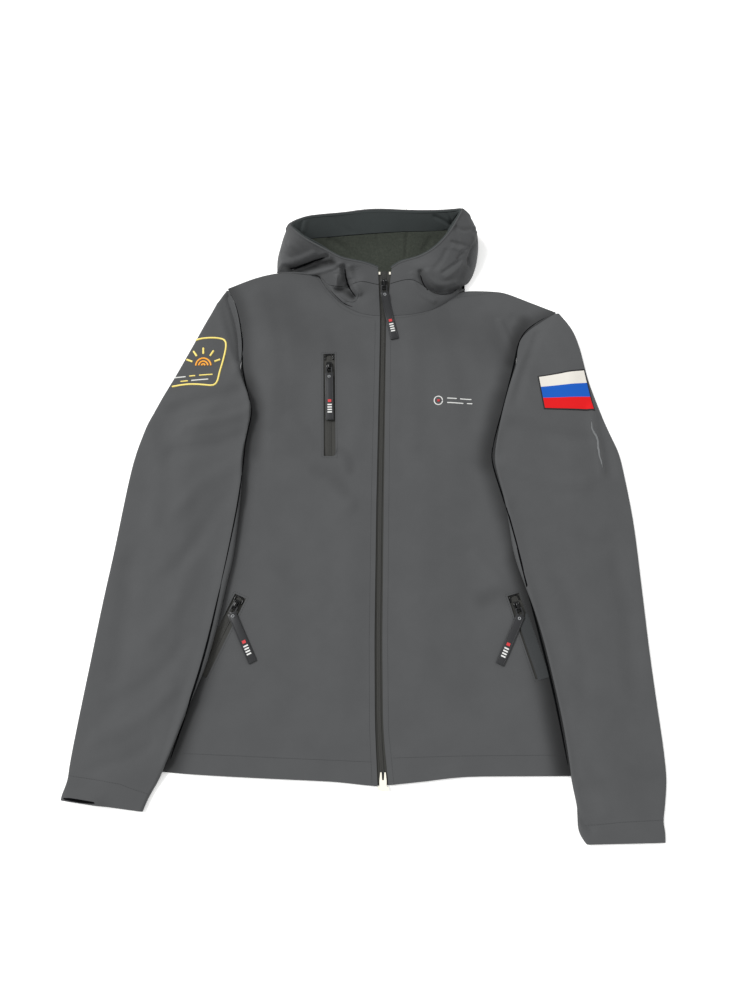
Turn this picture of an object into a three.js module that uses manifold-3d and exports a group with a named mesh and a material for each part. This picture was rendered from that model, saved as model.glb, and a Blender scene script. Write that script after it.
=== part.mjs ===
// Softshell jacket with a hood, laid flat on its back with the front zip closed.
// Millimetres. +X is the wearer's left, +Y runs from the hem to the hood, +Z is up.
// The tables below measure from the bottom of the front zip. MIDDLE moves the whole jacket so
// that its origin lies on the floor under the middle of its outline.
import * as THREE from 'three';
import { mergeVertices } from 'three/addons/utils/BufferGeometryUtils.js';
import Module from 'manifold-3d';

const wasm = await Module();
wasm.setup();

// Driving dimensions
const MIDDLE = { x: -20.85, y: 352.5 };
const CLOTH = 1.5;
const SEAM = 0.35;
const STEP_ALONG = 26;

const FRONT = { seamGap: 0.3, seamRun: 20, layerGap: 1.5, loft: 2.0, loftRun: 80, shoulderRun: 45, hemRun: 90 };
const PRESSED = { right: 62, left: 92, atArmhole: 10, from: 430, run: 110 };
const SLEEVE = {
  radius: 3.2, leastRadius: 1.95, radiusShare: 0.28, lift: 5.4, rampStart: 2, rampRun: 12, topRun: 46,
  headRun: 22, headParts: 8,
};
const HOOD = {
  centreX: -8, centreY: 705, bowRise: 0.5, foldStart: 0.15, foldEnd: 0.2, wideStations: 3, seamStations: 0.004,
  facing: 30, facingGap: 2.2, overTape: 1.2, facingStart: 0.2, facingWall: 1.2, liningWall: 1.2,
  underHeight: 3.2, underInset: 10.5, panelParts: 9, collarParts: 4, facingParts: 3, liningParts: 6,
};
const COLLAR_BACK = { left: 92, right: -70, height: 18, gap: 0.45, columns: 8 };
const TAPE = {
  wall: 0.9, gap: 0.45, halfWidth: 14, start: 0.5, top: 664, chainHalf: 2.4, chainRise: 0.8, chainStart: 14.6,
  chainGap: 0.3, flatStep: 32,
};
const TOP_STOPS = {
  width: 2.4, length: 3.4, height: 1.4, right: { x: -3.2, y: 661.5 }, left: { x: 11, y: 661.5 },
};
const ZIP_BOX = {
  rise: 3.2, height: 2, footHalf: 6.6, footEnd: -6, footTop: -2.2, half: 4.2, bodyStart: -1.6, bodyTop: 5,
  pinTop: 14, pinOuter: 3.2, pinInner: 1.6, slotHalf: 1.1, slotFoot: 5.5,
};
const WINDOW = {
  width: 15.4, cutDepth: 20, ridgeHalf: 2.2, ridgeFoot: 0.05, ridge: 0.6, ridgeStart: 2, margin: 3.4,
};
const PULL = {
  width: 10.4, wall: 1.6, tabLength: 66, tabStep: 6.6, linkHalf: 4.2, linkBar: 1.3, linkLength: 9.5,
  clearance: 0.5, tunnel: 2.5, hingeY: -2.3, overCollar: 0.3,
};
const SLIDER = {
  halfWidth: 4.2, halfLength: 6.5, plate: 1.8, footInset: 1.2, shoulder: 3, corner: 0.9,
  archHalf: 1.3, archBar: 1.1, archReach: 3.4, archSunk: 0.6,
};

// Outline of the body from the hem corner up its side, around the armhole to the shoulder's tip
const SIDE = {
  right: [
    { x: -262, y: 14.5 }, { x: -252, y: 120 }, { x: -241, y: 250 }, { x: -241, y: 350 },
    { x: -243, y: 430 }, { x: -224, y: 455 }, { x: -204, y: 485 }, { x: -193.5, y: 515 },
    { x: -191.2, y: 527 }, { x: -190.4, y: 538 }, { x: -189.5, y: 552 }, { x: -189.5, y: 570 },
    { x: -194, y: 598 }, { x: -202.5, y: 627 }, { x: -212.6, y: 647 }, { x: -214.5, y: 650 },
  ],
  left: [
    { x: 250, y: 10 }, { x: 243, y: 120 }, { x: 232, y: 250 }, { x: 232, y: 350 },
    { x: 236, y: 420 }, { x: 222, y: 440 }, { x: 205, y: 470 }, { x: 192, y: 500 },
    { x: 183, y: 524 }, { x: 181.6, y: 535 }, { x: 182, y: 546 }, { x: 184.8, y: 561 },
    { x: 190.6, y: 576 }, { x: 203.4, y: 588 }, { x: 217.6, y: 597.5 }, { x: 238, y: 611.5 },
    { x: 240.5, y: 613.2 },
  ],
};

// Hem from its side corner to the zip
const HEM = {
  right: [
    { x: -262, y: 14.5 }, { x: -207, y: 10.5 }, { x: -129, y: 6.8 }, { x: -51, y: 3.4 },
    { x: -13, y: -1.4 }, { x: -6.3, y: -1.3 },
  ],
  left: [
    { x: 250, y: 10 }, { x: 103, y: 9.4 }, { x: 82, y: 8 }, { x: 52, y: 4.2 },
    { x: 22, y: 1.3 }, { x: 6.3, y: -0.3 },
  ],
};

// Shoulder edge from the armhole to the highest point, then on over the neck
const SHOULDER = {
  right: [
    { x: -214.5, y: 650 }, { x: -177, y: 667 }, { x: -144, y: 676 }, { x: -98, y: 671 },
    { x: -87, y: 668.6 },
  ],
  left: [
    { x: 240.5, y: 613.2 }, { x: 206, y: 628.3 }, { x: 169.5, y: 644.5 }, { x: 150, y: 646 },
    { x: 112, y: 647 },
  ],
};

// Neckline seam from the highest point of the shoulder to the zip
const NECKLINE = {
  right: [
    { x: -87, y: 668.6 }, { x: -82, y: 657 }, { x: -73.6, y: 644.4 }, { x: -64, y: 632.4 },
    { x: -53, y: 621.8 }, { x: -35, y: 611.8 }, { x: -20, y: 607.2 }, { x: -2.6, y: 606.2 },
  ],
  left: [
    { x: 112, y: 647 }, { x: 105, y: 640 }, { x: 97, y: 633 }, { x: 79, y: 620 },
    { x: 66.6, y: 614.5 }, { x: 47.6, y: 609.4 }, { x: 31, y: 607.2 }, { x: 6.4, y: 606.2 },
  ],
};
const BACK_NECK = [{ x: 60, y: 634 }, { x: 0, y: 637 }, { x: -50, y: 648 }];

// Edges of the fronts along the zip, and the middle of the row of teeth
const ZIP_EDGE = {
  right: [
    { x: -6.3, y: -1.3 }, { x: -7.8, y: 31 }, { x: -9.4, y: 62 }, { x: -10, y: 167 },
    { x: -7.7, y: 339 }, { x: -2.7, y: 574 }, { x: -2.6, y: 606.2 },
  ],
  left: [
    { x: 6.3, y: -0.3 }, { x: 2.8, y: 36 }, { x: 0.1, y: 62 }, { x: -0.5, y: 167 },
    { x: 1.8, y: 339 }, { x: 5.6, y: 574 }, { x: 6.4, y: 606.2 },
  ],
};
const ZIP_MIDDLE = [
  { x: 0, y: 0 }, { x: -2.4, y: 33 }, { x: -4.6, y: 62 }, { x: -5.2, y: 167 }, { x: -2.9, y: 339 },
  { x: 1.6, y: 574 }, { x: 2, y: 606.2 }, { x: 3, y: 641 }, { x: 4, y: 664 },
];

// Sleeve sections from the shoulder's tip to the cuff. "seat" says where the inner edge lies:
// seam meets the body at the armhole, beside and lifted lie just outside it, over lies on the
// front, free is past the hem.
const SLEEVE_ROWS = {
  right: [
    { outerX: -217, outerY: 646.5, innerX: 0, innerY: 647, seat: 'seam' },
    { outerX: -228, outerY: 628, innerX: 0, innerY: 627, seat: 'seam' },
    { outerX: -243, outerY: 592, innerX: 0, innerY: 598, seat: 'seam' },
    { outerX: -260, outerY: 556, innerX: 0, innerY: 570, seat: 'seam' },
    { outerX: -270, outerY: 535, innerX: 0, innerY: 552, seat: 'seam' },
    { outerX: -277, outerY: 520, innerX: 0, innerY: 538, seat: 'beside' },
    { outerX: -284, outerY: 506, innerX: 0, innerY: 527, seat: 'lifted' },
    { outerX: -294, outerY: 486, innerX: -183.6, innerY: 503, seat: 'over' },
    { outerX: -302, outerY: 468, innerX: -173.7, innerY: 480, seat: 'over' },
    { outerX: -309, outerY: 452, innerX: -172, innerY: 459, seat: 'over' },
    { outerX: -320.7, outerY: 418, innerX: -178, innerY: 433, seat: 'over' },
    { outerX: -327, outerY: 385, innerX: -181.7, innerY: 404, seat: 'over' },
    { outerX: -331, outerY: 353, innerX: -180, innerY: 369, seat: 'over' },
    { outerX: -335, outerY: 318, innerX: -182.4, innerY: 322, seat: 'over' },
    { outerX: -338, outerY: 290, innerX: -185, innerY: 290, seat: 'over' },
    { outerX: -342, outerY: 258, innerX: -187.5, innerY: 262, seat: 'over' },
    { outerX: -346, outerY: 229, innerX: -193, innerY: 240, seat: 'over' },
    { outerX: -351, outerY: 188, innerX: -200, innerY: 195, seat: 'over' },
    { outerX: -356, outerY: 142, innerX: -212, innerY: 138, seat: 'over' },
    { outerX: -359.4, outerY: 113, innerX: -222.5, innerY: 112, seat: 'over' },
    { outerX: -363, outerY: 82, innerX: -236, innerY: 75, seat: 'over' },
    { outerX: -366.5, outerY: 50, innerX: -246, innerY: 44, seat: 'over' },
    { outerX: -369.7, outerY: 18, innerX: -256.5, innerY: 18, seat: 'over' },
    { outerX: -369.2, outerY: 6, innerX: -263, innerY: 3, seat: 'free' },
    { outerX: -373.5, outerY: -6, innerX: -272, innerY: -11, seat: 'free' },
    { outerX: -374.5, outerY: -16, innerX: -278.5, innerY: -29, seat: 'free' },
  ],
  left: [
    { outerX: 245.5, outerY: 611.5, innerX: 0, innerY: 611.5, seat: 'seam' },
    { outerX: 259.7, outerY: 590, innerX: 0, innerY: 597.5, seat: 'seam' },
    { outerX: 266.5, outerY: 571, innerX: 0, innerY: 588, seat: 'seam' },
    { outerX: 270.9, outerY: 552, innerX: 0, innerY: 576, seat: 'seam' },
    { outerX: 273.2, outerY: 537, innerX: 0, innerY: 561, seat: 'seam' },
    { outerX: 275.8, outerY: 521, innerX: 0, innerY: 546, seat: 'beside' },
    { outerX: 278.5, outerY: 507, innerX: 0, innerY: 535, seat: 'lifted' },
    { outerX: 283.5, outerY: 489, innerX: 172, innerY: 510, seat: 'over' },
    { outerX: 290, outerY: 467, innerX: 164, innerY: 483, seat: 'over' },
    { outerX: 297, outerY: 445, innerX: 157.5, innerY: 460, seat: 'over' },
    { outerX: 304, outerY: 426, innerX: 149.4, innerY: 426, seat: 'over' },
    { outerX: 310.4, outerY: 410, innerX: 144.6, innerY: 398, seat: 'over' },
    { outerX: 313.5, outerY: 390, innerX: 147.6, innerY: 382, seat: 'over' },
    { outerX: 316.3, outerY: 366, innerX: 153.5, innerY: 356, seat: 'over' },
    { outerX: 319.6, outerY: 337, innerX: 158, innerY: 333, seat: 'over' },
    { outerX: 322, outerY: 305, innerX: 161, innerY: 306, seat: 'over' },
    { outerX: 323, outerY: 275, innerX: 164, innerY: 274, seat: 'over' },
    { outerX: 323.8, outerY: 244, innerX: 172, innerY: 247, seat: 'over' },
    { outerX: 325, outerY: 205, innerX: 186, innerY: 205, seat: 'over' },
    { outerX: 326, outerY: 165, innerX: 196.5, innerY: 165, seat: 'over' },
    { outerX: 327.6, outerY: 127, innerX: 203.3, innerY: 127, seat: 'over' },
    { outerX: 330, outerY: 82, innerX: 211.5, innerY: 82, seat: 'over' },
    { outerX: 332.3, outerY: 45, innerX: 216, innerY: 45, seat: 'over' },
    { outerX: 332.8, outerY: 18, innerX: 218.3, innerY: 16, seat: 'over' },
    { outerX: 332.6, outerY: 8, innerX: 219, innerY: 8.5, seat: 'over' },
    { outerX: 331, outerY: -6, innerX: 222, innerY: -6, seat: 'free' },
    { outerX: 326, outerY: -32, innerX: 226, innerY: -27, seat: 'free' },
    { outerX: 323.8, outerY: -40, innerX: 224, innerY: -40, seat: 'free' },
    { outerX: 325.6, outerY: -50, innerX: 225, innerY: -53, seat: 'free' },
    { outerX: 324.5, outerY: -62, innerX: 233, innerY: -64, seat: 'free' },
  ],
};

// Hood sections, once round from the zip's left edge over the back to its right edge. The base is
// the neckline seam, and behind the shoulders the line where the hood meets the floor. The rim is
// the edge of the opening. The foot is the facing's lower edge, given where the inside shows.
// "bulge" bows a section outwards. "seam" is the share of its height that the collar takes.
const HOOD_ROWS = [
  { baseX: 6.4, baseY: 606.2, rimX: 13.4, rimY: 668, rimZ: 27, bulge: 0, seam: 0.66 },
  { baseX: 31, baseY: 607.2, rimX: 25, rimY: 674.2, rimZ: 32, bulge: 1, seam: 0.66 },
  { baseX: 47.6, baseY: 609.4, rimX: 40.2, rimY: 676.2, rimZ: 36, bulge: 3, seam: 0.66 },
  { baseX: 66.6, baseY: 614.5, rimX: 51.7, rimY: 677.6, rimZ: 40, bulge: 5, seam: 0.42 },
  { baseX: 79, baseY: 620, rimX: 65.5, rimY: 683, rimZ: 44, bulge: 6, seam: 0.25 },
  { baseX: 97, baseY: 633, rimX: 77, rimY: 691, rimZ: 48, bulge: 6, seam: 0.12 },
  { baseX: 105, baseY: 640, rimX: 83, rimY: 697, rimZ: 50, bulge: 7, seam: 0.1 },
  { baseX: 112, baseY: 647, rimX: 88.6, rimY: 702.7, rimZ: 52, bulge: 8, seam: 0.08 },
  { baseX: 122, baseY: 659, rimX: 95, rimY: 712, rimZ: 53, bulge: 9, footX: 80, footY: 700, footZ: 31 },
  { baseX: 131, baseY: 678, rimX: 101, rimY: 722.7, rimZ: 54, bulge: 10, footX: 86, footY: 708, footZ: 31 },
  { baseX: 137, baseY: 704, rimX: 106.5, rimY: 733, rimZ: 55, bulge: 9, footX: 92, footY: 716, footZ: 31 },
  { baseX: 136, baseY: 732, rimX: 110, rimY: 741, rimZ: 56, bulge: 6, footX: 92, footY: 725, footZ: 31 },
  { baseX: 118, baseY: 756, rimX: 98, rimY: 741.5, rimZ: 53, bulge: 4, footX: 82, footY: 726, footZ: 29 },
  { baseX: 84, baseY: 766, rimX: 74, rimY: 742.5, rimZ: 49, bulge: 4, footX: 64, footY: 726, footZ: 27 },
  { baseX: 34, baseY: 769, rimX: 34, rimY: 745, rimZ: 46, bulge: 4, footX: 30, footY: 727, footZ: 25 },
  { baseX: -12, baseY: 769, rimX: -12, rimY: 747.5, rimZ: 46, bulge: 4, footX: -12, footY: 724, footZ: 25 },
  { baseX: -58, baseY: 764, rimX: -53, rimY: 741.3, rimZ: 46, bulge: 4, footX: -48, footY: 720, footZ: 26 },
  { baseX: -92, baseY: 756, rimX: -82, rimY: 737.2, rimZ: 48, bulge: 4, footX: -72, footY: 717, footZ: 27 },
  { baseX: -122, baseY: 744, rimX: -105, rimY: 732.5, rimZ: 50, bulge: 4, footX: -91, footY: 714, footZ: 29 },
  { baseX: -142, baseY: 724, rimX: -126.6, rimY: 720, rimZ: 52, bulge: 2, footX: -104, footY: 710, footZ: 31 },
  { baseX: -148, baseY: 700, rimX: -119, rimY: 711, rimZ: 51, bulge: 2, footX: -98, footY: 703, footZ: 31 },
  { baseX: -147, baseY: 678.4, rimX: -110.8, rimY: 703.7, rimZ: 50, bulge: 2, footX: -88, footY: 694, footZ: 29 },
  { baseX: -118, baseY: 674.6, rimX: -99, rimY: 697, rimZ: 47, bulge: 1, footX: -78, footY: 688, footZ: 27 },
  { baseX: -87, baseY: 668.6, rimX: -84, rimY: 690, rimZ: 44, bulge: 1, seam: 0.08 },
  { baseX: -82, baseY: 657, rimX: -72, rimY: 684, rimZ: 42, bulge: 1, seam: 0.1 },
  { baseX: -73.6, baseY: 644.4, rimX: -62, rimY: 679, rimZ: 40, bulge: 2, seam: 0.15 },
  { baseX: -64, baseY: 632.4, rimX: -54, rimY: 676.2, rimZ: 38, bulge: 3, seam: 0.3 },
  { baseX: -53, baseY: 621.8, rimX: -42, rimY: 675, rimZ: 35, bulge: 3, seam: 0.5 },
  { baseX: -35, baseY: 611.8, rimX: -27, rimY: 673.9, rimZ: 32, bulge: 1, seam: 0.62 },
  { baseX: -20, baseY: 607.2, rimX: -16, rimY: 671.5, rimZ: 29.5, bulge: 0, seam: 0.64 },
  { baseX: -2.6, baseY: 606.2, rimX: -5.2, rimY: 668, rimZ: 27, bulge: 0, seam: 0.64 },
];
const HOOD_FLOOR = { first: 8, last: 22 };
const HOOD_CENTRE = { first: 14, last: 15.5 };
const LINING_FRONT = { y: 652, z: 4.6, left: 58, right: -66, pullX: 0.2, pullY: 0.3, fromFoot: 1.05 };

// Large folds of the hood as soft ridges and troughs: a route, half its width and its height
const HOOD_FOLDS = [
  { route: [{ x: -50, y: 662 }, { x: -47, y: 646 }, { x: -38, y: 632 }], half: 13, height: -9 },
  { route: [{ x: -66, y: 668 }, { x: -62, y: 650 }], half: 13, height: 4.5 },
  { route: [{ x: -34, y: 650 }, { x: -27, y: 632 }], half: 12, height: 2.5 },
  { route: [{ x: -128, y: 685 }, { x: -106, y: 688 }, { x: -84, y: 682 }], half: 13, height: -8 },
  { route: [{ x: 54, y: 652 }, { x: 61, y: 640 }, { x: 77, y: 633 }, { x: 98, y: 641 }], half: 12, height: -4 },
  { route: [{ x: 58, y: 668 }, { x: 72, y: 655 }, { x: 92, y: 655 }], half: 16, height: 4 },
  { route: [{ x: 112, y: 726 }, { x: 124, y: 704 }, { x: 118, y: 680 }], half: 14, height: -3 },
];

// Zip ends on the plan: where each window starts, the way it runs and how its pull lies
const POCKETS = [
  { name: 'chest_zip', panel: 'right', x: -71.6, y: 549.4, lean: 1.2, length: 146, slider: 19, pullTurn: 0.6 },
  { name: 'hand_zip_right', panel: 'right', x: -176.7, y: 221, lean: -24.5, length: 105, slider: 12, pullTurn: 50 },
  { name: 'hand_zip_left', panel: 'left', x: 162.6, y: 223, lean: 16.5, length: 105, slider: 16, pullTurn: -42 },
];
const MAIN_SLIDER = { y: 647, pullTurn: 12.5 };

const FLAG = {
  corners: {
    topLeft: { x: 208.5, y: 515 }, topRight: { x: 271.8, y: 526.5 },
    bottomLeft: { x: 213.7, y: 467 }, bottomRight: { x: 279.5, y: 466 },
  },
  wall: 1.0,
  cells: { across: 10, down: 7 },
};

const clamp = (value, low, high) => Math.min(Math.max(value, low), high);

function smooth(share) {
  const t = clamp(share, 0, 1);
  return t * t * (3 - 2 * t);
}

// Value on a table at the place where its "key" column has the wanted number
function lookUp(table, key, wanted, value) {
  for (let i = 1; i < table.length; i += 1) {
    const [from, to] = [table[i - 1], table[i]];
    const share = (wanted - from[key]) / (to[key] - from[key]);
    if (share >= 0 && share <= 1) return from[value] + share * (to[value] - from[value]);
  }
  const [first, last] = [table[0], table[table.length - 1]];
  return Math.abs(wanted - first[key]) < Math.abs(wanted - last[key]) ? first[value] : last[value];
}

// Outline helpers
const between = (a, b, share) => ({ x: a.x + (b.x - a.x) * share, y: a.y + (b.y - a.y) * share });
const pairs = (points) => points.map((p) => [p.x, p.y]);

function divide(points, step) {
  const divided = [points[0]];
  for (let i = 1; i < points.length; i += 1) {
    const length = Math.hypot(points[i].x - points[i - 1].x, points[i].y - points[i - 1].y);
    const parts = Math.max(1, Math.round(length / step));
    for (let k = 1; k <= parts; k += 1) divided.push(between(points[i - 1], points[i], k / parts));
  }
  return divided;
}

function shares(points) {
  const lengths = [0];
  for (let i = 1; i < points.length; i += 1) {
    lengths.push(lengths[i - 1] + Math.hypot(points[i].x - points[i - 1].x, points[i].y - points[i - 1].y));
  }
  return lengths.map((length) => length / lengths[lengths.length - 1]);
}

function pointAt(points, share) {
  const marks = shares(points);
  const i = Math.max(1, marks.findIndex((mark) => mark >= share - 1e-9));
  return between(points[i - 1], points[i], (share - marks[i - 1]) / (marks[i] - marks[i - 1]));
}

// Heights of the body
const OUTWARD = { right: -1, left: 1 };
const sideX = (side, y) => lookUp(SIDE[side], 'y', y, 'x');

function pressedWidth(side, y) {
  return THREE.MathUtils.lerp(PRESSED[side], PRESSED.atArmhole, smooth((y - PRESSED.from) / PRESSED.run));
}

function frontTop(side, x, y) {
  const inset = OUTWARD[side] * (sideX(side, y) - x);
  const below = lookUp(SHOULDER[side], 'x', x, 'y') - y;
  const closing = smooth(Math.min(inset, below) / FRONT.seamRun);
  const loft = smooth((inset - pressedWidth(side, y)) / FRONT.loftRun)
    * smooth(below / FRONT.shoulderRun) * smooth(y / FRONT.hemRun);
  return 2 * CLOTH + FRONT.seamGap + FRONT.layerGap * closing + FRONT.loft * loft;
}

// Geometry of loose triangles, turned inside out where their volume comes out negative
function facingOut(positions) {
  let volume = 0;
  const [a, b, c] = [new THREE.Vector3(), new THREE.Vector3(), new THREE.Vector3()];
  for (let i = 0; i < positions.length; i += 9) {
    a.fromArray(positions, i);
    b.fromArray(positions, i + 3);
    c.fromArray(positions, i + 6);
    volume += a.dot(b.cross(c));
  }
  if (volume < 0) {
    for (let i = 0; i < positions.length; i += 9) {
      const second = positions.slice(i + 3, i + 6);
      positions.splice(i + 3, 6, ...positions.slice(i + 6, i + 9), ...second);
    }
  }
  const geometry = new THREE.BufferGeometry();
  geometry.setAttribute('position', new THREE.Float32BufferAttribute(positions, 3));
  return geometry;
}

// Closed solid between two grids of points. From the row "closedFrom" on, the last column is the
// first one again, as on a tube.
function wallSolid(outer, inner, closedFrom = Infinity) {
  const positions = [];
  const quad = (a, b, c, d) => {
    [a, b, c, a, c, d].forEach((p) => positions.push(p.x, p.y, p.z));
  };
  const lastRow = outer.length - 1;
  const lastColumn = outer[0].length - 1;
  for (let i = 0; i < lastRow; i += 1) {
    for (let j = 0; j < lastColumn; j += 1) {
      quad(outer[i][j], outer[i][j + 1], outer[i + 1][j + 1], outer[i + 1][j]);
      quad(inner[i][j], inner[i + 1][j], inner[i + 1][j + 1], inner[i][j + 1]);
    }
    if (i < closedFrom) {
      quad(outer[i][0], outer[i + 1][0], inner[i + 1][0], inner[i][0]);
      quad(outer[i][lastColumn], inner[i][lastColumn], inner[i + 1][lastColumn], outer[i + 1][lastColumn]);
    }
  }
  for (let j = 0; j < lastColumn; j += 1) {
    quad(outer[0][j], inner[0][j], inner[0][j + 1], outer[0][j + 1]);
    quad(outer[lastRow][j], outer[lastRow][j + 1], inner[lastRow][j + 1], inner[lastRow][j]);
  }
  return facingOut(positions);
}

const lowered = (grid, depth) => grid.map((row) => row.map((p) => new THREE.Vector3(p.x, p.y, p.z - depth)));

// Grid moved along its own normals, by one distance or by one for each row
function moved(grid, distance) {
  const last = grid.length - 1;
  const end = grid[0].length - 1;
  return grid.map((row, i) => row.map((p, j) => {
    const along = grid[Math.min(i + 1, last)][j].clone().sub(grid[Math.max(i - 1, 0)][j]);
    const up = row[Math.min(j + 1, end)].clone().sub(row[Math.max(j - 1, 0)]);
    return p.clone().addScaledVector(along.cross(up).normalize(), distance[i] ?? distance);
  }));
}

// Joining and cutting
function toManifold(geometry) {
  const bare = geometry.clone();
  bare.deleteAttribute('normal');
  bare.deleteAttribute('uv');
  const merged = mergeVertices(bare, 1e-4);
  return new wasm.Manifold(new wasm.Mesh({
    numProp: 3,
    vertProperties: Float32Array.from(merged.attributes.position.array),
    triVerts: Uint32Array.from(merged.index.array),
  }));
}

function fromManifold(solid) {
  const mesh = solid.getMesh();
  const geometry = new THREE.BufferGeometry();
  geometry.setAttribute('position', new THREE.Float32BufferAttribute(mesh.vertProperties, 3));
  geometry.setIndex(new THREE.BufferAttribute(Uint32Array.from(mesh.triVerts), 1));
  return geometry;
}

const join = (first, second) => fromManifold(toManifold(first).add(toManifold(second)));

function cut(geometry, tools) {
  return fromManifold(tools.reduce((solid, tool) => solid.subtract(toManifold(tool)), toManifold(geometry)));
}

function extrude(points, depth, hole) {
  const shape = new THREE.Shape(points.map(([x, y]) => new THREE.Vector2(x, y)));
  if (hole) shape.holes.push(new THREE.Path(hole.map(([x, y]) => new THREE.Vector2(x, y))));
  return new THREE.ExtrudeGeometry(shape, { depth, bevelEnabled: false, steps: 1 });
}

// Body panels
function backPanel() {
  const outline = [
    ...HEM.right.slice(1, -1), ...[...HEM.left].reverse(), ...SIDE.left.slice(1),
    ...SHOULDER.left.slice(1), ...BACK_NECK, ...[...SHOULDER.right].reverse(),
    ...[...SIDE.right].reverse().slice(1),
  ];
  return extrude(pairs(outline), CLOTH);
}

function frontPanel(side) {
  const edge = divide(SIDE[side], STEP_ALONG);
  const top = [...divide(SHOULDER[side], STEP_ALONG), ...NECKLINE[side].slice(1)];
  const columns = shares(top);
  const [hemCorner, zipCorner, tip, neck] = [edge[0], ZIP_EDGE[side][0], top[0], top[top.length - 1]];
  const surface = shares(edge).map((v, i) => {
    const zip = pointAt(ZIP_EDGE[side], v);
    return columns.map((u, j) => {
      const across = between(edge[i], zip, u);
      const upward = between(pointAt(HEM[side], u), top[j], v);
      const corners = between(between(hemCorner, zipCorner, u), between(tip, neck, u), v);
      const x = across.x + upward.x - corners.x;
      const y = across.y + upward.y - corners.y;
      return new THREE.Vector3(x, y, frontTop(side, x, y));
    });
  });
  const windows = POCKETS.filter((pocket) => pocket.panel === side).map(windowCutter);
  return cut(wallSolid(surface, lowered(surface, CLOTH)), windows);
}

// Pocket windows: a straight slot through the front, with the zip behind it
function pocketPlace(pocket) {
  const place = new THREE.Matrix4().makeRotationZ(THREE.MathUtils.degToRad(pocket.lean));
  return place.setPosition(pocket.x, pocket.y, 0);
}

function windowCutter(pocket) {
  const half = WINDOW.width / 2;
  const outline = [[-half, -pocket.length], [half, -pocket.length], [half, 0], [-half, 0]];
  return extrude(outline, WINDOW.cutDepth).applyMatrix4(pocketPlace(pocket));
}

function pocketTape(pocket) {
  const edge = WINDOW.width / 2 + WINDOW.margin;
  const foot = WINDOW.ridgeHalf + WINDOW.ridgeFoot;
  const columns = [
    [-edge, 0], [-foot, 0], [-WINDOW.ridgeHalf, WINDOW.ridge],
    [WINDOW.ridgeHalf, WINDOW.ridge], [foot, 0], [edge, 0],
  ];
  const [top, bottom] = [-WINDOW.ridgeStart, WINDOW.ridgeStart - pocket.length];
  const visible = divide([{ x: 0, y: top }, { x: 0, y: bottom }], STEP_ALONG).map((p) => p.y);
  const hidden = [WINDOW.margin, 0, -pocket.length, -pocket.length - WINDOW.margin];
  const place = pocketPlace(pocket);
  const upper = [];
  const lower = [];
  for (const along of [...hidden.slice(0, 2), ...visible, ...hidden.slice(2)]) {
    const row = columns.map(([across, ridge]) => {
      const p = new THREE.Vector3(across, along, 0).applyMatrix4(place);
      const z = frontTop(pocket.panel, p.x, p.y) - CLOTH - TAPE.gap;
      return { x: p.x, y: p.y, z, rise: hidden.includes(along) ? 0 : ridge };
    });
    upper.push(row.map((p) => new THREE.Vector3(p.x, p.y, p.z + p.rise)));
    lower.push(row.map((p) => new THREE.Vector3(p.x, p.y, p.z - TAPE.wall)));
  }
  return wallSolid(upper, lower);
}

// Sleeves: a flat tube whose two layers meet the armhole at its head and close lower down
function crossing(side, inner, outer, width) {
  let [low, high] = [0, 1];
  for (let i = 0; i < 24; i += 1) {
    const middle = (low + high) / 2;
    const p = between(inner, outer, middle);
    if (OUTWARD[side] * (p.x - sideX(side, p.y)) < 0) low = middle;
    else high = middle;
  }
  return low * width;
}

// Inner edge of a section: on the armhole's outline where the sleeve meets it, else as the table says
function innerEdge(side, row) {
  if (row.seat === 'over' || row.seat === 'free') return { x: row.innerX, y: row.innerY };
  const slope = sideX(side, row.innerY + 0.5) - sideX(side, row.innerY - 0.5);
  return { x: sideX(side, row.innerY) + OUTWARD[side] * SEAM * Math.hypot(1, slope), y: row.innerY };
}

function sleeveSection(side, row) {
  const inner = innerEdge(side, row);
  const outer = { x: row.outerX, y: row.outerY };
  const width = Math.hypot(outer.x - inner.x, outer.y - inner.y);
  const open = row.seat === 'seam';
  const lift = row.seat === 'over' || row.seat === 'lifted' ? SLEEVE.lift : 0;
  const radius = clamp(width * SLEEVE.radiusShare, SLEEVE.leastRadius, SLEEVE.radius);
  const far = width - radius;
  const body = row.seat === 'over' ? crossing(side, inner, outer, width) : 0;
  const start = Math.max(body, SLEEVE.radius) + SLEEVE.rampStart;
  const end = start + SLEEVE.rampRun;
  const under = (d) => lift * (1 - smooth((d - start) / SLEEVE.rampRun));
  const over = (d) => lift * (1 - smooth((d - start) / SLEEVE.topRun)) + 2 * radius;
  const seamTop = 2 * CLOTH + FRONT.seamGap;
  const headRun = Math.min(SLEEVE.headRun, far);
  const top = (d) => (open ? seamTop + (over(d) - seamTop) * smooth(d / headRun) : over(d));
  const third = (far - end) / 3;
  const stops = open
    ? Array.from({ length: SLEEVE.headParts }, (unused, k) => (far * (k + 1)) / SLEEVE.headParts)
    : [radius, (radius + start) / 2, start, (start + end) / 2, end, end + third, end + 2 * third, far];
  const at = (d, z) => {
    const p = between(inner, outer, d / width);
    return new THREE.Vector3(p.x, p.y, z);
  };
  const ring = (inset) => {
    const bend = (radius - inset) * Math.SQRT1_2;
    const near = open ? stops[0] / 2 : radius - bend;
    const fold = at(inset, under(0) + radius);
    const nearTop = open ? top(near) - inset : under(0) + radius + bend;
    const nearUnder = open ? inset : under(0) + radius - bend;
    return [
      open ? at(0, top(0) - inset) : fold,
      at(near, nearTop),
      ...stops.map((d) => at(d, top(d) - inset)),
      at(far + bend, under(far) + radius + bend),
      at(width - inset, under(far) + radius),
      at(far + bend, under(far) + radius - bend),
      ...[...stops].reverse().map((d) => at(d, under(d) + inset)),
      at(near, nearUnder),
      open ? at(0, inset) : fold.clone(),
    ];
  };
  return { outer: ring(0), inner: ring(CLOTH), open };
}

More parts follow.
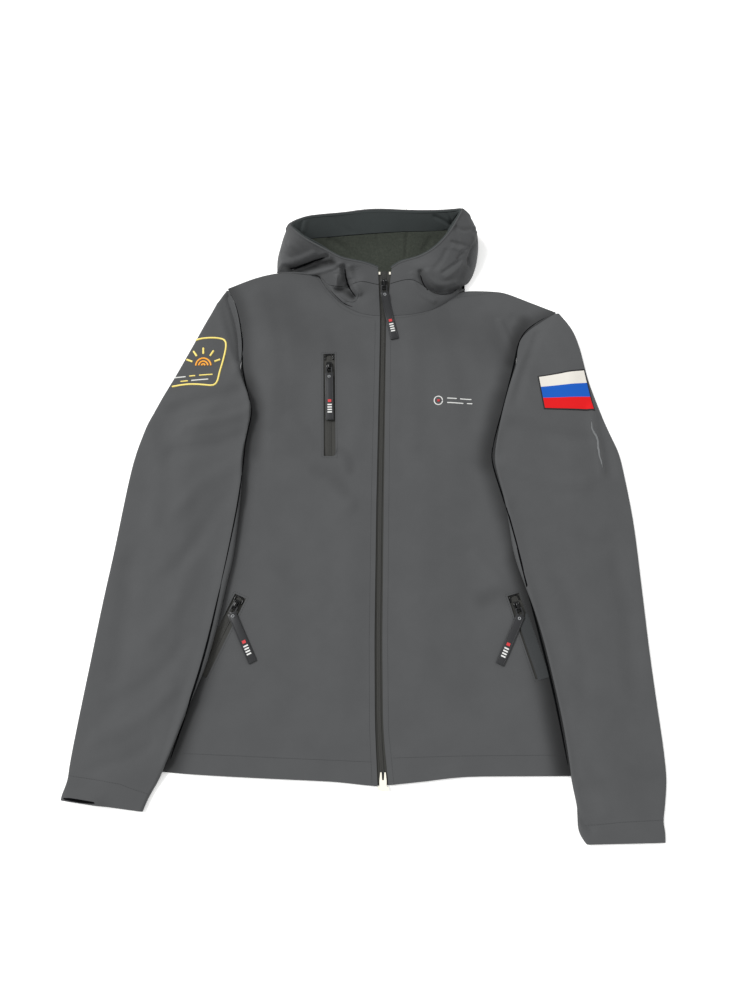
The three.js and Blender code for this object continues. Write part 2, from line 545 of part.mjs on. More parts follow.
function sleeve(side) {
  const sections = SLEEVE_ROWS[side].map((row) => sleeveSection(side, row));
  return wallSolid(
    sections.map((section) => section.outer),
    sections.map((section) => section.inner),
    sections.findIndex((section) => !section.open),
  );
}

// Patch that follows the top of another solid, found straight down from above
function patchOn(solid, corners, wall, cells) {
  const target = new THREE.Mesh(solid, new THREE.MeshBasicMaterial({ side: THREE.DoubleSide }));
  const ray = new THREE.Raycaster();
  const down = new THREE.Vector3(0, 0, -1);
  const grid = [];
  for (let i = 0; i <= cells.down; i += 1) {
    const left = between(corners.topLeft, corners.bottomLeft, i / cells.down);
    const right = between(corners.topRight, corners.bottomRight, i / cells.down);
    grid.push(Array.from({ length: cells.across + 1 }, (unused, j) => {
      const { x, y } = between(left, right, j / cells.across);
      ray.set(new THREE.Vector3(x, y, 100), down);
      return new THREE.Vector3(x, y, ray.intersectObject(target)[0].point.z + SEAM + wall);
    }));
  }
  return wallSolid(grid, lowered(grid, wall));
}

// Hood: sections from the neckline, or the floor, up to the rim
const LAST_STATION = HOOD_ROWS.length - 1;
const onFloor = (station) => station >= HOOD_FLOOR.first && station <= HOOD_FLOOR.last;

function baseOf(row, index) {
  if (onFloor(index)) return new THREE.Vector3(row.baseX, row.baseY, 0);
  const side = index < HOOD_FLOOR.first ? 'left' : 'right';
  const before = HOOD_ROWS[Math.max(index - 1, 0)];
  const after = HOOD_ROWS[Math.min(index + 1, LAST_STATION)];
  const along = new THREE.Vector2(after.baseX - before.baseX, after.baseY - before.baseY).normalize();
  const z = frontTop(side, row.baseX, row.baseY);
  return new THREE.Vector3(row.baseX - along.y * SEAM, row.baseY + along.x * SEAM, z);
}

const HOOD_BASE = HOOD_ROWS.map(baseOf);
const HOOD_RIM = new THREE.CatmullRomCurve3(
  HOOD_ROWS.map((row) => new THREE.Vector3(row.rimX, row.rimY, row.rimZ)),
);

function stationValue(station, column) {
  const index = Math.min(Math.floor(station), LAST_STATION - 1);
  const [from, to] = [HOOD_ROWS[index][column] ?? 0, HOOD_ROWS[index + 1][column] ?? 0];
  return from + (to - from) * (station - index);
}

function distanceToRoute(x, y, route) {
  let nearest = Infinity;
  for (let i = 1; i < route.length; i += 1) {
    const [a, b] = [route[i - 1], route[i]];
    const [dx, dy] = [b.x - a.x, b.y - a.y];
    const share = clamp(((x - a.x) * dx + (y - a.y) * dy) / (dx * dx + dy * dy), 0, 1);
    nearest = Math.min(nearest, Math.hypot(x - a.x - share * dx, y - a.y - share * dy));
  }
  return nearest;
}

function foldHeight(x, y) {
  return HOOD_FOLDS.reduce((sum, fold) => {
    const distance = Math.min(distanceToRoute(x, y, fold.route), fold.half);
    return sum + fold.height * 0.5 * (1 + Math.cos((Math.PI * distance) / fold.half));
  }, 0);
}

function shellPoint(station, v) {
  const index = Math.min(Math.floor(station), LAST_STATION - 1);
  const base = HOOD_BASE[index].clone().lerp(HOOD_BASE[index + 1], station - index);
  const point = base.lerp(HOOD_RIM.getPoint(station / LAST_STATION), v);
  const out = new THREE.Vector2(point.x - HOOD.centreX, point.y - HOOD.centreY).normalize();
  const bow = stationValue(station, 'bulge') * 4 * v * (1 - v);
  point.x += out.x * bow;
  point.y += out.y * bow;
  const fade = smooth(v / HOOD.foldStart) * smooth((1 - v) / HOOD.foldEnd);
  point.z += bow * HOOD.bowRise + foldHeight(point.x, point.y) * fade;
  return point;
}

function stationsBetween(first, last) {
  const stations = [first];
  for (let half = Math.floor(first * 2) + 1; half / 2 < last - 1e-6; half += 1) {
    const fromEnd = Math.min(half / 2 - HOOD_FLOOR.first, HOOD_FLOOR.last - half / 2);
    const wide = fromEnd > HOOD.wideStations;
    if (wide || half % 2 === 0) stations.push(half / 2);
  }
  return [...stations, last];
}

// Shell grid between two stations, from one share of each section's height to another
function shellGrid(first, last, low, high, parts) {
  return stationsBetween(first, last).map((station) => {
    const [from, rise] = [low(station), high(station) - low(station)];
    return Array.from({ length: parts + 1 }, (unused, k) => shellPoint(station, from + (rise * k) / parts));
  });
}

const aboveFloor = (grid) => grid.map((row) => row.map((p) => new THREE.Vector3(p.x, p.y, Math.max(p.z, 0))));
const sectionLength = (station) => shellPoint(station, 0).distanceTo(shellPoint(station, 1));
const seamShare = (station) => stationValue(station, 'seam');

function hoodPanel(first, last) {
  const overSeam = (station) => seamShare(station) + (2 * SEAM) / sectionLength(station);
  const low = (station) => (seamShare(station) > 0 ? overSeam(station) : 0);
  const grid = shellGrid(first, last, low, () => 1, HOOD.panelParts);
  return wallSolid(grid, aboveFloor(moved(grid, -CLOTH)));
}

function collarFront(first, last) {
  const grid = shellGrid(first, last, () => 0, seamShare, HOOD.collarParts);
  return wallSolid(grid, moved(grid, -CLOTH));
}

// Facing: behind the shell along the rim, and sloping down to its foot where the inside shows
function footAt(station) {
  const [x, y, z] = ['footX', 'footY', 'footZ'].map((column) => stationValue(station, column));
  return new THREE.Vector3(x, y, z);
}

function facing() {
  const parts = HOOD.facingParts;
  const low = (station) => Math.max(1 - HOOD.facing / sectionLength(station), HOOD.facingStart);
  const stations = stationsBetween(0, LAST_STATION);
  const depths = stations.map((station) => {
    const fromZip = Math.min(station, LAST_STATION - station);
    return -CLOTH - HOOD.facingGap - HOOD.overTape * (1 - smooth(fromZip - 1));
  });
  const behind = moved(shellGrid(0, LAST_STATION, low, () => 1, parts), depths);
  const back = stations.map((station, i) => {
    const start = behind[i][parts];
    return behind[i].map((p, k) => (onFloor(station) ? footAt(station).lerp(start, k / parts) : p));
  });
  return wallSolid(back, moved(back, -HOOD.facingWall));
}

// Lining: from the facing's foot down into the bowl and forward under the zip
function lining() {
  const grid = stationsBetween(HOOD_FLOOR.first, HOOD_FLOOR.last).map((station) => {
    const foot = footAt(station);
    const share = (station - HOOD_FLOOR.first) / (HOOD_FLOOR.last - HOOD_FLOOR.first);
    const frontX = THREE.MathUtils.lerp(LINING_FRONT.left, LINING_FRONT.right, share);
    const front = new THREE.Vector3(frontX, LINING_FRONT.y, LINING_FRONT.z);
    const [lowX, lowY] = [
      THREE.MathUtils.lerp(foot.x, front.x, LINING_FRONT.pullX),
      THREE.MathUtils.lerp(foot.y, front.y, LINING_FRONT.pullY),
    ];
    const low = new THREE.Vector3(lowX, lowY, LINING_FRONT.z);
    const rim = HOOD_RIM.getPoint(station / LAST_STATION);
    const fromRim = foot.clone().sub(rim).setLength(LINING_FRONT.fromFoot);
    return new THREE.QuadraticBezierCurve3(foot.add(fromRim), low, front).getPoints(HOOD.liningParts).reverse();
  });
  return wallSolid(grid, moved(grid, -HOOD.liningWall));
}

// Hidden pieces that lie flat under the bowl
const BACK_NECK_LINE = [NECKLINE.left[0], ...BACK_NECK, NECKLINE.right[0]];

function neckLine(rise) {
  const { left, right, columns } = COLLAR_BACK;
  return Array.from({ length: columns + 1 }, (unused, k) => {
    const x = right + ((left - right) * k) / columns;
    return [x, lookUp(BACK_NECK_LINE, 'x', x, 'y') + rise];
  });
}

function collarBack() {
  return extrude([...neckLine(COLLAR_BACK.gap), ...neckLine(COLLAR_BACK.height).reverse()], CLOTH);
}

function hoodUnder() {
  const edge = HOOD_BASE.slice(HOOD_FLOOR.first + 1, HOOD_FLOOR.last).map((p) => {
    const toCentre = new THREE.Vector2(HOOD.centreX - p.x, HOOD.centreY - p.y).setLength(HOOD.underInset);
    return [p.x + toCentre.x, p.y + toCentre.y];
  });
  return extrude([...neckLine(COLLAR_BACK.height + COLLAR_BACK.gap), ...edge], HOOD.underHeight);
}

// Main zip: the height of the cloth beside it, then tapes, teeth, stops and the box at its end
const NECK_Y = NECKLINE.left[NECKLINE.left.length - 1].y;
const zipX = (y) => lookUp(ZIP_MIDDLE, 'y', y, 'x');

function zipCloth(y) {
  const low = Math.min(y, NECK_Y);
  const flat = Math.min(...['left', 'right'].map(
    (side) => frontTop(side, lookUp(ZIP_EDGE[side], 'y', low, 'x'), low),
  ));
  const rim = HOOD_ROWS[0];
  return flat + (rim.rimZ - flat) * clamp((y - NECK_Y) / (rim.rimY - NECK_Y), 0, 1);
}

// Places along the zip where its cloth bends a little
const ZIP_ROWS = [
  TAPE.start,
  ...divide([{ x: 0, y: TAPE.chainStart }, { x: 0, y: NECK_Y }], TAPE.flatStep).map((p) => p.y),
  (NECK_Y + TAPE.top) / 2,
  TAPE.top,
];

function zipStrip(first, from, to, rise) {
  const upper = ZIP_ROWS.filter((y) => y >= first).map((y) => {
    const z = zipCloth(y) - CLOTH - TAPE.gap + rise;
    return [from, to].map((x) => new THREE.Vector3(zipX(y) + x, y, z));
  });
  return wallSolid(upper, lowered(upper, TAPE.wall + rise));
}

const collarPitch = (y) => Math.atan(zipCloth(y + 0.5) - zipCloth(y - 0.5));

function topStop(place) {
  const stop = new THREE.BoxGeometry(TOP_STOPS.width, TOP_STOPS.length, TOP_STOPS.height);
  const z = zipCloth(place.y) - CLOTH - TAPE.gap + SEAM + TOP_STOPS.height / 2;
  return stop.rotateX(collarPitch(place.y)).translate(place.x, place.y, z);
}

function bottomBox() {
  const { footHalf, footEnd, footTop, half, bodyStart, bodyTop } = ZIP_BOX;
  const { pinTop, pinOuter, pinInner, slotHalf, slotFoot } = ZIP_BOX;
  const rightHalf = [
    [footHalf, footEnd], [footHalf, footTop], [half, bodyStart], [half, bodyTop],
    [pinOuter, pinTop], [pinInner, pinTop], [slotHalf, slotFoot],
  ];
  const leftHalf = rightHalf.map(([x, y]) => [-x, y]).reverse();
  return extrude([...rightHalf, ...leftHalf], ZIP_BOX.height).translate(0, 0, ZIP_BOX.rise);
}

// Slider: a plate that widens to the two open rows, and an arch that holds the pull
function slider() {
  const { halfWidth, halfLength, plate, footInset, shoulder, corner } = SLIDER;
  const { archHalf, archBar, archReach, archSunk } = SLIDER;
  const [foot, head] = [halfWidth - footInset, halfWidth - corner];
  const body = extrude([
    [-foot, -halfLength], [foot, -halfLength], [halfWidth, halfLength - shoulder], [head, halfLength],
    [-head, halfLength], [-halfWidth, halfLength - shoulder],
  ], plate);
  const crown = plate + PULL.tunnel;
  const sunk = plate - archSunk;
  const reach = archReach + archBar;
  const top = reach - archSunk;
  const arch = extrude([
    [-reach, sunk], [-archReach, sunk], [-archReach, crown], [archReach, crown], [archReach, sunk],
    [reach, sunk], [top, crown + archBar], [-top, crown + archBar],
  ], 2 * archHalf);
  const [across, up, along] = [[1, 0, 0], [0, 0, 1], [0, 1, 0]].map((v) => new THREE.Vector3(...v));
  arch.applyMatrix4(new THREE.Matrix4().makeBasis(along, up, across)).translate(-archHalf, 0, 0);
  return join(body, arch);
}

// Pull: a link through the slider's arch, and a flat tab that follows the cloth under it
function pull(hinge, heading, ground) {
  const { linkHalf, linkBar, linkLength, width, wall, clearance, tabLength, tabStep } = PULL;
  const half = linkBar / 2;
  const inner = linkHalf - linkBar;
  const link = extrude(
    [[-linkHalf, half], [-linkHalf, -linkLength], [linkHalf, -linkLength], [linkHalf, half]],
    linkBar,
    [[-inner, -half], [-inner, linkBar - linkLength], [inner, linkBar - linkLength], [inner, -half]],
  );
  link.translate(0, 0, -half).applyMatrix4(hinge);
  const start = new THREE.Vector3(0, half - linkLength, 0).applyMatrix4(hinge);
  const along = new THREE.Vector2(Math.sin(heading), -Math.cos(heading));
  const upper = [];
  for (let run = 0; run <= tabLength; run += tabStep) {
    const centre = { x: start.x + along.x * run, y: start.y + along.y * run };
    const rest = ground(centre.x, centre.y) + clearance + wall / 2;
    const z = THREE.MathUtils.lerp(start.z, rest, smooth(run / (2 * tabStep))) + wall / 2;
    upper.push([-width / 2, width / 2].map((side) => new THREE.Vector3(
      centre.x - along.y * side,
      centre.y + along.x * side,
      z,
    )));
  }
  return join(link, wallSolid(upper, lowered(upper, wall)));
}

// Places of a slider's underside and of the hinge in its arch
const turned = (x, y, z) => new THREE.Matrix4().makeTranslation(x, y, z);
const hingePlace = (place) => place.clone().multiply(turned(0, PULL.hingeY, SLIDER.plate + PULL.tunnel / 2));

function mainSliderPlace() {
  const { y } = MAIN_SLIDER;
  const z = zipCloth(y) - CLOTH - TAPE.gap + TAPE.chainRise + SEAM;
  return new THREE.Matrix4().makeRotationX(collarPitch(y)).setPosition(zipX(y), y, z);
}

function pocketSliderPlace(pocket) {
  const place = pocketPlace(pocket);
  const p = new THREE.Vector3(0, -pocket.slider, 0).applyMatrix4(place);
  const z = frontTop(pocket.panel, p.x, p.y) - CLOTH - TAPE.gap + WINDOW.ridge + SEAM;
  return place.setPosition(p.x, p.y, z);
}

// The jacket
const SHELL = { color: 0x55585a, roughness: 0.85, metalness: 0 };
const LINING = { color: 0x3e423c, roughness: 0.95, metalness: 0 };
const TAPE_CLOTH = { color: 0x3e3e3a, roughness: 0.8, metalness: 0 };
const HARDWARE = { color: 0x17181a, roughness: 0.4, metalness: 0.3 };
const IVORY = { color: 0xeeebde, roughness: 0.4, metalness: 0 };
const PATCH = { color: 0xebe6de, roughness: 0.8, metalness: 0 };

const jacket = new THREE.Group();

function add(name, geometry, finish) {
  const mesh = new THREE.Mesh(geometry, new THREE.MeshStandardMaterial(finish));
  mesh.name = name;
  jacket.add(mesh);
}

function addSlider(name, place, heading, ground) {
  add(`${name}_slider`, slider().applyMatrix4(place), HARDWARE);
  add(`${name}_pull`, pull(hingePlace(place), THREE.MathUtils.degToRad(heading), ground), HARDWARE);
}

add('back', backPanel(), SHELL);
for (const side of ['right', 'left']) {
  add(`front_${side}`, frontPanel(side), SHELL);
  add(`sleeve_${side}`, sleeve(side), SHELL);
}

add('collar_left', collarFront(0, HOOD_FLOOR.first - 1), SHELL);
add('collar_right', collarFront(HOOD_FLOOR.last + 1, LAST_STATION), SHELL);
add('collar_back', collarBack(), SHELL);
const { first: centreFirst, last: centreLast } = HOOD_CENTRE;
add('hood_left', hoodPanel(0, centreFirst - HOOD.seamStations), SHELL);
add('hood_centre', hoodPanel(centreFirst + HOOD.seamStations, centreLast - HOOD.seamStations), SHELL);
add('hood_right', hoodPanel(centreLast + HOOD.seamStations, LAST_STATION), SHELL);
add('hood_under', hoodUnder(), SHELL);
add('hood_facing', facing(), SHELL);
add('hood_lining', lining(), LINING);

const tapeInner = TAPE.chainHalf + TAPE.chainGap;
add('main_zip_tape_right', zipStrip(TAPE.start, -TAPE.halfWidth, -tapeInner, 0), TAPE_CLOTH);
add('main_zip_tape_left', zipStrip(TAPE.start, tapeInner, TAPE.halfWidth, 0), TAPE_CLOTH);
add('main_zip_teeth', zipStrip(TAPE.chainStart, -TAPE.chainHalf, TAPE.chainHalf, TAPE.chainRise), TAPE_CLOTH);
add('main_zip_stop_right', topStop(TOP_STOPS.right), IVORY);
add('main_zip_stop_left', topStop(TOP_STOPS.left), IVORY);
add('main_zip_box', bottomBox(), IVORY);

const zipGround = (x, y) => zipCloth(y) + (y > NECK_Y ? PULL.overCollar : 0);
addSlider('main_zip', mainSliderPlace(), MAIN_SLIDER.pullTurn, zipGround);
for (const pocket of POCKETS) {
  const ground = (x, y) => frontTop(pocket.panel, x, y);
  add(`${pocket.name}_tape`, pocketTape(pocket), TAPE_CLOTH);
  addSlider(pocket.name, pocketSliderPlace(pocket), pocket.lean + pocket.pullTurn, ground);
}

const leftSleeve = jacket.getObjectByName('sleeve_left').geometry;
add('flag_patch', patchOn(leftSleeve, FLAG.corners, FLAG.wall, FLAG.cells), PATCH);

jacket.position.set(-MIDDLE.x, -MIDDLE.y, 0);

export default jacket;
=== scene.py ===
"""Softshell jacket with a hood, laid flat on its back with the front zip closed.

Each piece of cloth takes the form of its CAD solid, made smoother, with creases pressed in along lines
seen in the photograph. What is sewn or moulded on is laid on the finished cloth.
"""

import logging
import math
from collections.abc import Iterable, Sequence
from dataclasses import dataclass, field
from enum import Enum

import bmesh
import bpy
import numpy as np
from mathutils import Matrix, Vector
from mathutils.bvhtree import BVHTree


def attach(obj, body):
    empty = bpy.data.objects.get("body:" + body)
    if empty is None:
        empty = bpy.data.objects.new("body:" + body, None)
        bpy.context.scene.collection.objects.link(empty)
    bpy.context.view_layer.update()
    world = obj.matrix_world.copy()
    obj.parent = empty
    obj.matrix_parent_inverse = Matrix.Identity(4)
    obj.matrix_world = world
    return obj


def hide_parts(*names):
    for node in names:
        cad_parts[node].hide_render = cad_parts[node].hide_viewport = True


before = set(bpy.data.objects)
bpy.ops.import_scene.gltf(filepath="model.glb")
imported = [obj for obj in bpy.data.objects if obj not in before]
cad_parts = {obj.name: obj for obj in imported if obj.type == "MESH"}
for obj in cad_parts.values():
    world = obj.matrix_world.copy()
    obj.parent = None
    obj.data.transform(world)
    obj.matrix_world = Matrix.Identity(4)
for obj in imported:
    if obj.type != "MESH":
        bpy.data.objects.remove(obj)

log = logging.getLogger("jacket")
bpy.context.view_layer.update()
JACKET = "jacket"
# Name of the mesh attribute that holds each vertex's painted shade: how far its colour is darkened where
# it lies deep in a fold or beside a sleeve.
PAINTED_SHADE = "shade"

MM = 0.001
# Usual height of the cloth's upper face above the floor, in millimetres.
CLOTH_TOP = 6.0
# Distance from one stitch, and from one turn of a coil, to the next, in millimetres.
STITCH_PITCH = 3.2
COIL_PITCH = 1.25
# Height from which the probe looks down, in metres, above all of the jacket.
PROBE_FROM = 0.2
UP = Vector((0.0, 0.0, 1.0))

# Two numbers: pixels of the photograph, or millimetres on the plan.
Point = tuple[float, float]
Route = tuple[Point, ...]
Triple = tuple[float, float, float]


class Side(Enum):
    """The wearer's two sides."""

    RIGHT = "right"
    LEFT = "left"


class Layer(Enum):
    """Which part of a piece of cloth follows a crease."""

    WHOLE = "whole"
    TOP_ONLY = "top"


# Places on the plan and in the photograph


def plan(x: float, y: float) -> Vector:
    """Turn millimetres from the lower end of the front zip into metres of the frame.

    Args:
        x: Distance towards the wearer's left.
        y: Distance towards the hood.

    Returns:
        The place on the floor.
    """
    return Vector(((x + 20.85) * MM, (y - 352.5) * MM, 0.0))


@dataclass(frozen=True)
class Viewpoint:
    """The camera's place, from the photograph's perspective.

    Attributes:
        target: What the middle of the picture shows.
        distance: From the target to the lens, in metres.
        tilt: Lean of the view from straight down.
        width_px: Width of the photograph.
        height_px: Height of the photograph.
    """

    target: Vector = field(default_factory=lambda: Vector((0.01149, -0.00647, 0.0)))
    distance: float = 0.97
    tilt: float = math.radians(15.0)
    width_px: int = 750
    height_px: int = 1000

    def place(self) -> Vector:
        """Return the camera's place."""
        return self.target + self.distance * Vector((0.0, -math.sin(self.tilt), math.cos(self.tilt)))

    def seen(self, px: float, py: float, height: float = CLOTH_TOP) -> Vector:
        """Find what a pixel of the photograph shows.

        Args:
            px: Pixel column.
            py: Pixel row.
            height: Height above the floor in millimetres.

        Returns:
            The place at that height.
        """
        ray = self.ray(px, py)
        start = self.place()
        return start + ray * ((height * MM - start.z) / ray.z)

    def ray(self, px: float, py: float) -> Vector:
        """Find the way from the camera through a pixel of the photograph.

        Args:
            px: Pixel column.
            py: Pixel row.

        Returns:
            The way, one unit down the view's axis.
        """
        across = (px - self.width_px / 2) / self.width_px
        upward = (self.height_px / 2 - py) / self.width_px
        sine, cosine = math.sin(self.tilt), math.cos(self.tilt)
        return Vector((across, upward * cosine + sine, upward * sine - cosine))


VIEW = Viewpoint()


def seen(points: Iterable[Point], height: float = CLOTH_TOP) -> list[Vector]:
    """Turn pixels of the photograph into places at one height in millimetres."""
    return [VIEW.seen(px, py, height) for px, py in points]


def planned(points: Iterable[Point]) -> list[Vector]:
    """Turn millimetres on the plan into places."""
    return [plan(x, y) for x, y in points]


def divided(route: Sequence[Vector], pitch: float) -> list[tuple[Vector, Vector]]:
    """Walk along a route.

    Args:
        route: Corners of the route.
        pitch: Step in metres.

    Returns:
        A place and a direction for each step.
    """
    steps: list[tuple[Vector, Vector]] = []
    left_over = pitch / 2
    for start, end in zip(route, route[1:]):
        length = (end - start).length
        if length < 1e-9:
            continue
        way = (end - start) / length
        while left_over <= length:
            steps.append((start + way * left_over, way))
            left_over += pitch
        left_over -= length
    return steps


def rounded(route: Sequence[Vector], rounds: int = 2) -> list[Vector]:
    """Round a route's corners by cutting them off a few times.

    Args:
        route: Corners of the route.
        rounds: How often they are cut.

    Returns:
        The rounded route, with the same ends.
    """
    points = list(route)
    for _ in range(rounds):
        cut = [points[0]]
        for start, end in zip(points, points[1:]):
            cut += [start.lerp(end, 0.25), start.lerp(end, 0.75)]
        points = cut + [points[-1]]
    return points


def around(middle: Point, reach: float, degrees: float) -> Point:
    """Find a point round a middle, in pixels with rows that run down.

    Args:
        middle: The middle.
        reach: Distance from it.
        degrees: Angle from the right, turning upwards.

    Returns:
        The point.
    """
    turn = math.radians(degrees)
    return middle[0] + reach * math.cos(turn), middle[1] - reach * math.sin(turn)


def way_at(degrees: float) -> Vector:
    """Return the way on the plan that is turned by so much from straight down the jacket."""
    return Vector((math.sin(math.radians(degrees)), -math.cos(math.radians(degrees)), 0.0))


def raised(place: Vector, height: float) -> Vector:
    """Return a place moved up by a height in millimetres."""
    return place + UP * height * MM


def soft_step(value: float) -> float:
    """Ease from 0 to 1 while the value goes from 0 to 1."""
    value = min(max(value, 0.0), 1.0)
    return value * value * (3 - 2 * value)


# Finishes


def linear(colour: str, alpha: float = 1.0) -> tuple[float, float, float, float]:
    """Turn an sRGB hex colour into linear values.

    Args:
        colour: The colour, with its hash sign.
        alpha: How opaque it is.

    Returns:
        Red, green, blue and alpha.
    """
    parts = [int(colour[i : i + 2], 16) / 255 for i in (1, 3, 5)]
    r, g, b = [c / 12.92 if c <= 0.04045 else ((c + 0.055) / 1.055) ** 2.4 for c in parts]
    return (r, g, b, alpha)


def add_node(
    tree: bpy.types.NodeTree,
    kind: str,
    values: dict[str | int, object] | None = None,
    links: dict[str | int, bpy.types.NodeSocket] | None = None,
    **settings: object,
) -> bpy.types.Node:
    """Add a shader node.

    Args:
        tree: The material's nodes.
        kind: Blender's name of the node type.
        values: Values of its inputs.
        links: Sockets that feed its inputs.
        **settings: Properties of the node itself.

    Returns:
        The node.
    """
    node = tree.nodes.new(kind)
    for name, setting in settings.items():
        setattr(node, name, setting)
    for name, value in (values or {}).items():
        node.inputs[name].default_value = value
    for name, socket in (links or {}).items():
        tree.links.new(socket, node.inputs[name])
    return node


@dataclass(frozen=True)
class Finish:
    """A plain moulded or dyed finish, the base of the others.

    Attributes:
        name: The material's name.
        colour: Main shade as a hex colour.
        second: Shade of the soft spots.
        roughness: From 0, a mirror, to 1, chalk.
        specular: Strength of the shine.
        sheen: Strength of the fuzz's bloom at grazing angles.
        glow: Light of its own.
        grain_mm: Size of the soft spots.
        grain_mix: How far a spot goes to the second shade.
        bump_mm: Height of the fine relief, 0 where it is smooth.
        bump_grain_mm: Size of the grains of the relief.
    """

    name: str
    colour: str
    second: str
    roughness: float = 0.5
    specular: float = 0.5
    sheen: float = 0.0
    glow: float = 0.0
    grain_mm: float = 4.0
    grain_mix: float = 0.3
    bump_mm: float = 0.0
    bump_grain_mm: float = 0.6

    def material(self) -> bpy.types.Material:
        """Give this finish's material, made the first time it is asked for.

        Returns:
            The material.
        """
        made = bpy.data.materials.get(self.name)
        if made:
            return made
        made = bpy.data.materials.new(self.name)
        made.use_nodes = True
        tree = made.node_tree
        shader = tree.nodes["Principled BSDF"]
        shader.inputs["Roughness"].default_value = self.roughness
        shader.inputs["Specular IOR Level"].default_value = self.specular
        shader.inputs["Sheen Weight"].default_value = self.sheen
        shader.inputs["Sheen Roughness"].default_value = 0.5
        shader.inputs["Emission Color"].default_value = (1.0, 1.0, 1.0, 1.0)
        shader.inputs["Emission Strength"].default_value = self.glow
        place = add_node(tree, "ShaderNodeTexCoord").outputs["Object"]
        tree.links.new(self.pattern(tree, place), shader.inputs["Base Color"])
        height = self.relief(tree, place)
        if height:
            bump = add_node(
                tree,
                "ShaderNodeBump",
                {"Strength": 1.0, "Distance": self.bump_mm * MM},
                {"Height": height},
            )
            tree.links.new(bump.outputs["Normal"], shader.inputs["Normal"])
        return made

    def mottled(
        self, tree: bpy.types.NodeTree, place: bpy.types.NodeSocket, grain_mm: float
    ) -> bpy.types.NodeSocket:
        """Make a cloudy value whose spots have a real size.

        Args:
            tree: The material's nodes.
            place: The place on the piece, in metres.
            grain_mm: Size of a spot.

        Returns:
            The value.
        """
        noise = add_node(
            tree,
            "ShaderNodeTexNoise",
            {"Scale": 1 / (grain_mm * MM), "Detail": 3.0, "Roughness": 0.6},
            {"Vector": place},
        )
        return noise.outputs["Fac"]

    def pattern(self, tree: bpy.types.NodeTree, place: bpy.types.NodeSocket) -> bpy.types.NodeSocket:
        """Mix two shades in soft spots, with painted shade where the mesh's shade attribute says so.

        Args:
            tree: The material's nodes.
            place: The place on the piece, in metres.

        Returns:
            The colour.
        """
        spots = add_node(
            tree,
            "ShaderNodeMapRange",
            {"From Min": 0.35, "From Max": 0.65, "To Max": self.grain_mix},
            {"Value": self.mottled(tree, place, self.grain_mm)},
        )
        mix = add_node(
            tree,
            "ShaderNodeMix",
            {6: linear(self.colour), 7: linear(self.second)},
            {0: spots.outputs["Result"]},
            data_type="RGBA",
        )
        # Painted shade: the mesh's shade attribute mixes the colour towards black.
        shade = add_node(tree, "ShaderNodeAttribute", attribute_name=PAINTED_SHADE)
        darker = add_node(
            tree,
            "ShaderNodeMix",
            {7: linear("#000000")},
            {0: shade.outputs["Fac"], 6: mix.outputs[2]},
            data_type="RGBA",
        )
        return darker.outputs[2]

    def relief(
        self, tree: bpy.types.NodeTree, place: bpy.types.NodeSocket
    ) -> bpy.types.NodeSocket | None:
        """Make the fine relief.

        Args:
            tree: The material's nodes.
            place: The place on the piece, in metres.

        Returns:
            Its height, or None where the surface is smooth.
        """
        if not self.bump_mm:
            return None
        return self.mottled(tree, place, self.bump_grain_mm)


@dataclass(frozen=True)
class WovenFinish(Finish):
    """Woven cloth: two crossing rows of threads under a fine fuzz.

    Attributes:
        thread_mm: Distance from one thread to the next.
    """

    thread_mm: float = 0.7

    def relief(self, tree: bpy.types.NodeTree, place: bpy.types.NodeSocket) -> bpy.types.NodeSocket:
        """Make the crossing threads.

        Args:
            tree: The material's nodes.
            place: The place on the piece, in metres.

        Returns:
            Their height.
        """
        # A wave texture of scale s repeats every 0.314 / s metres.
        scale = 0.314 / (self.thread_mm * MM)
        rows = [
            add_node(
                tree,
                "ShaderNodeTexWave",
                {"Scale": scale, "Distortion": 0.4, "Detail": 1.0},
                {"Vector": place},
                bands_direction=direction,
            ).outputs["Fac"]
            for direction in ("X", "Y")
        ]
        threads = add_node(tree, "ShaderNodeMath", {}, {0: rows[0], 1: rows[1]}, operation="MAXIMUM")
        fuzz = self.mottled(tree, place, self.bump_grain_mm)
        both = add_node(
            tree,
            "ShaderNodeMath",
            {1: 0.5},
            {0: threads.outputs[0], 2: fuzz},
            operation="MULTIPLY_ADD",
        )
        return both.outputs[0]


@dataclass(frozen=True)
class FlagFinish(Finish):
    """Woven patch with three even stripes inside a dark satin border.

    Attributes:
        middle: Colour of the middle stripe.
        last: Colour of the last stripe.
        border: Colour of the border.
        border_share: Its width as a share of the patch, at the ends and along the sides.
    """

    middle: str = "#0850AC"
    last: str = "#CC060C"
    border: str = "#1D1D1F"
    border_share: Point = (0.022, 0.034)

    def pattern(self, tree: bpy.types.NodeTree, place: bpy.types.NodeSocket) -> bpy.types.NodeSocket:
        """Make the stripes from the patch's own UV map.

        Args:
            tree: The material's nodes.
            place: The place on the piece, which the stripes have no need of.

        Returns:
            The colour.
        """
        uv = add_node(tree, "ShaderNodeUVMap", uv_map="Patch").outputs["UV"]
        parts = add_node(tree, "ShaderNodeSeparateXYZ", {}, {0: uv})
        colour: bpy.types.NodeSocket | None = None
        base = linear(self.colour)
        tests = [
            ("Y", "LESS_THAN", 2 / 3, self.middle),
            ("Y", "LESS_THAN", 1 / 3, self.last),
            ("X", "LESS_THAN", self.border_share[0], self.border),
            ("X", "GREATER_THAN", 1 - self.border_share[0], self.border),
            ("Y", "LESS_THAN", self.border_share[1], self.border),
            ("Y", "GREATER_THAN", 1 - self.border_share[1], self.border),
        ]
        for axis, operation, limit, shade in tests:
            test = add_node(
                tree,
                "ShaderNodeMath",
                {1: limit},
                {0: parts.outputs[axis]},
                operation=operation,
            )
            links: dict[str | int, bpy.types.NodeSocket] = {0: test.outputs[0]}
            values: dict[str | int, object] = {6: base, 7: linear(shade)}
            if colour:
                links[6] = colour
                values.pop(6)
            colour = add_node(tree, "ShaderNodeMix", values, links, data_type="RGBA").outputs[2]
        return colour


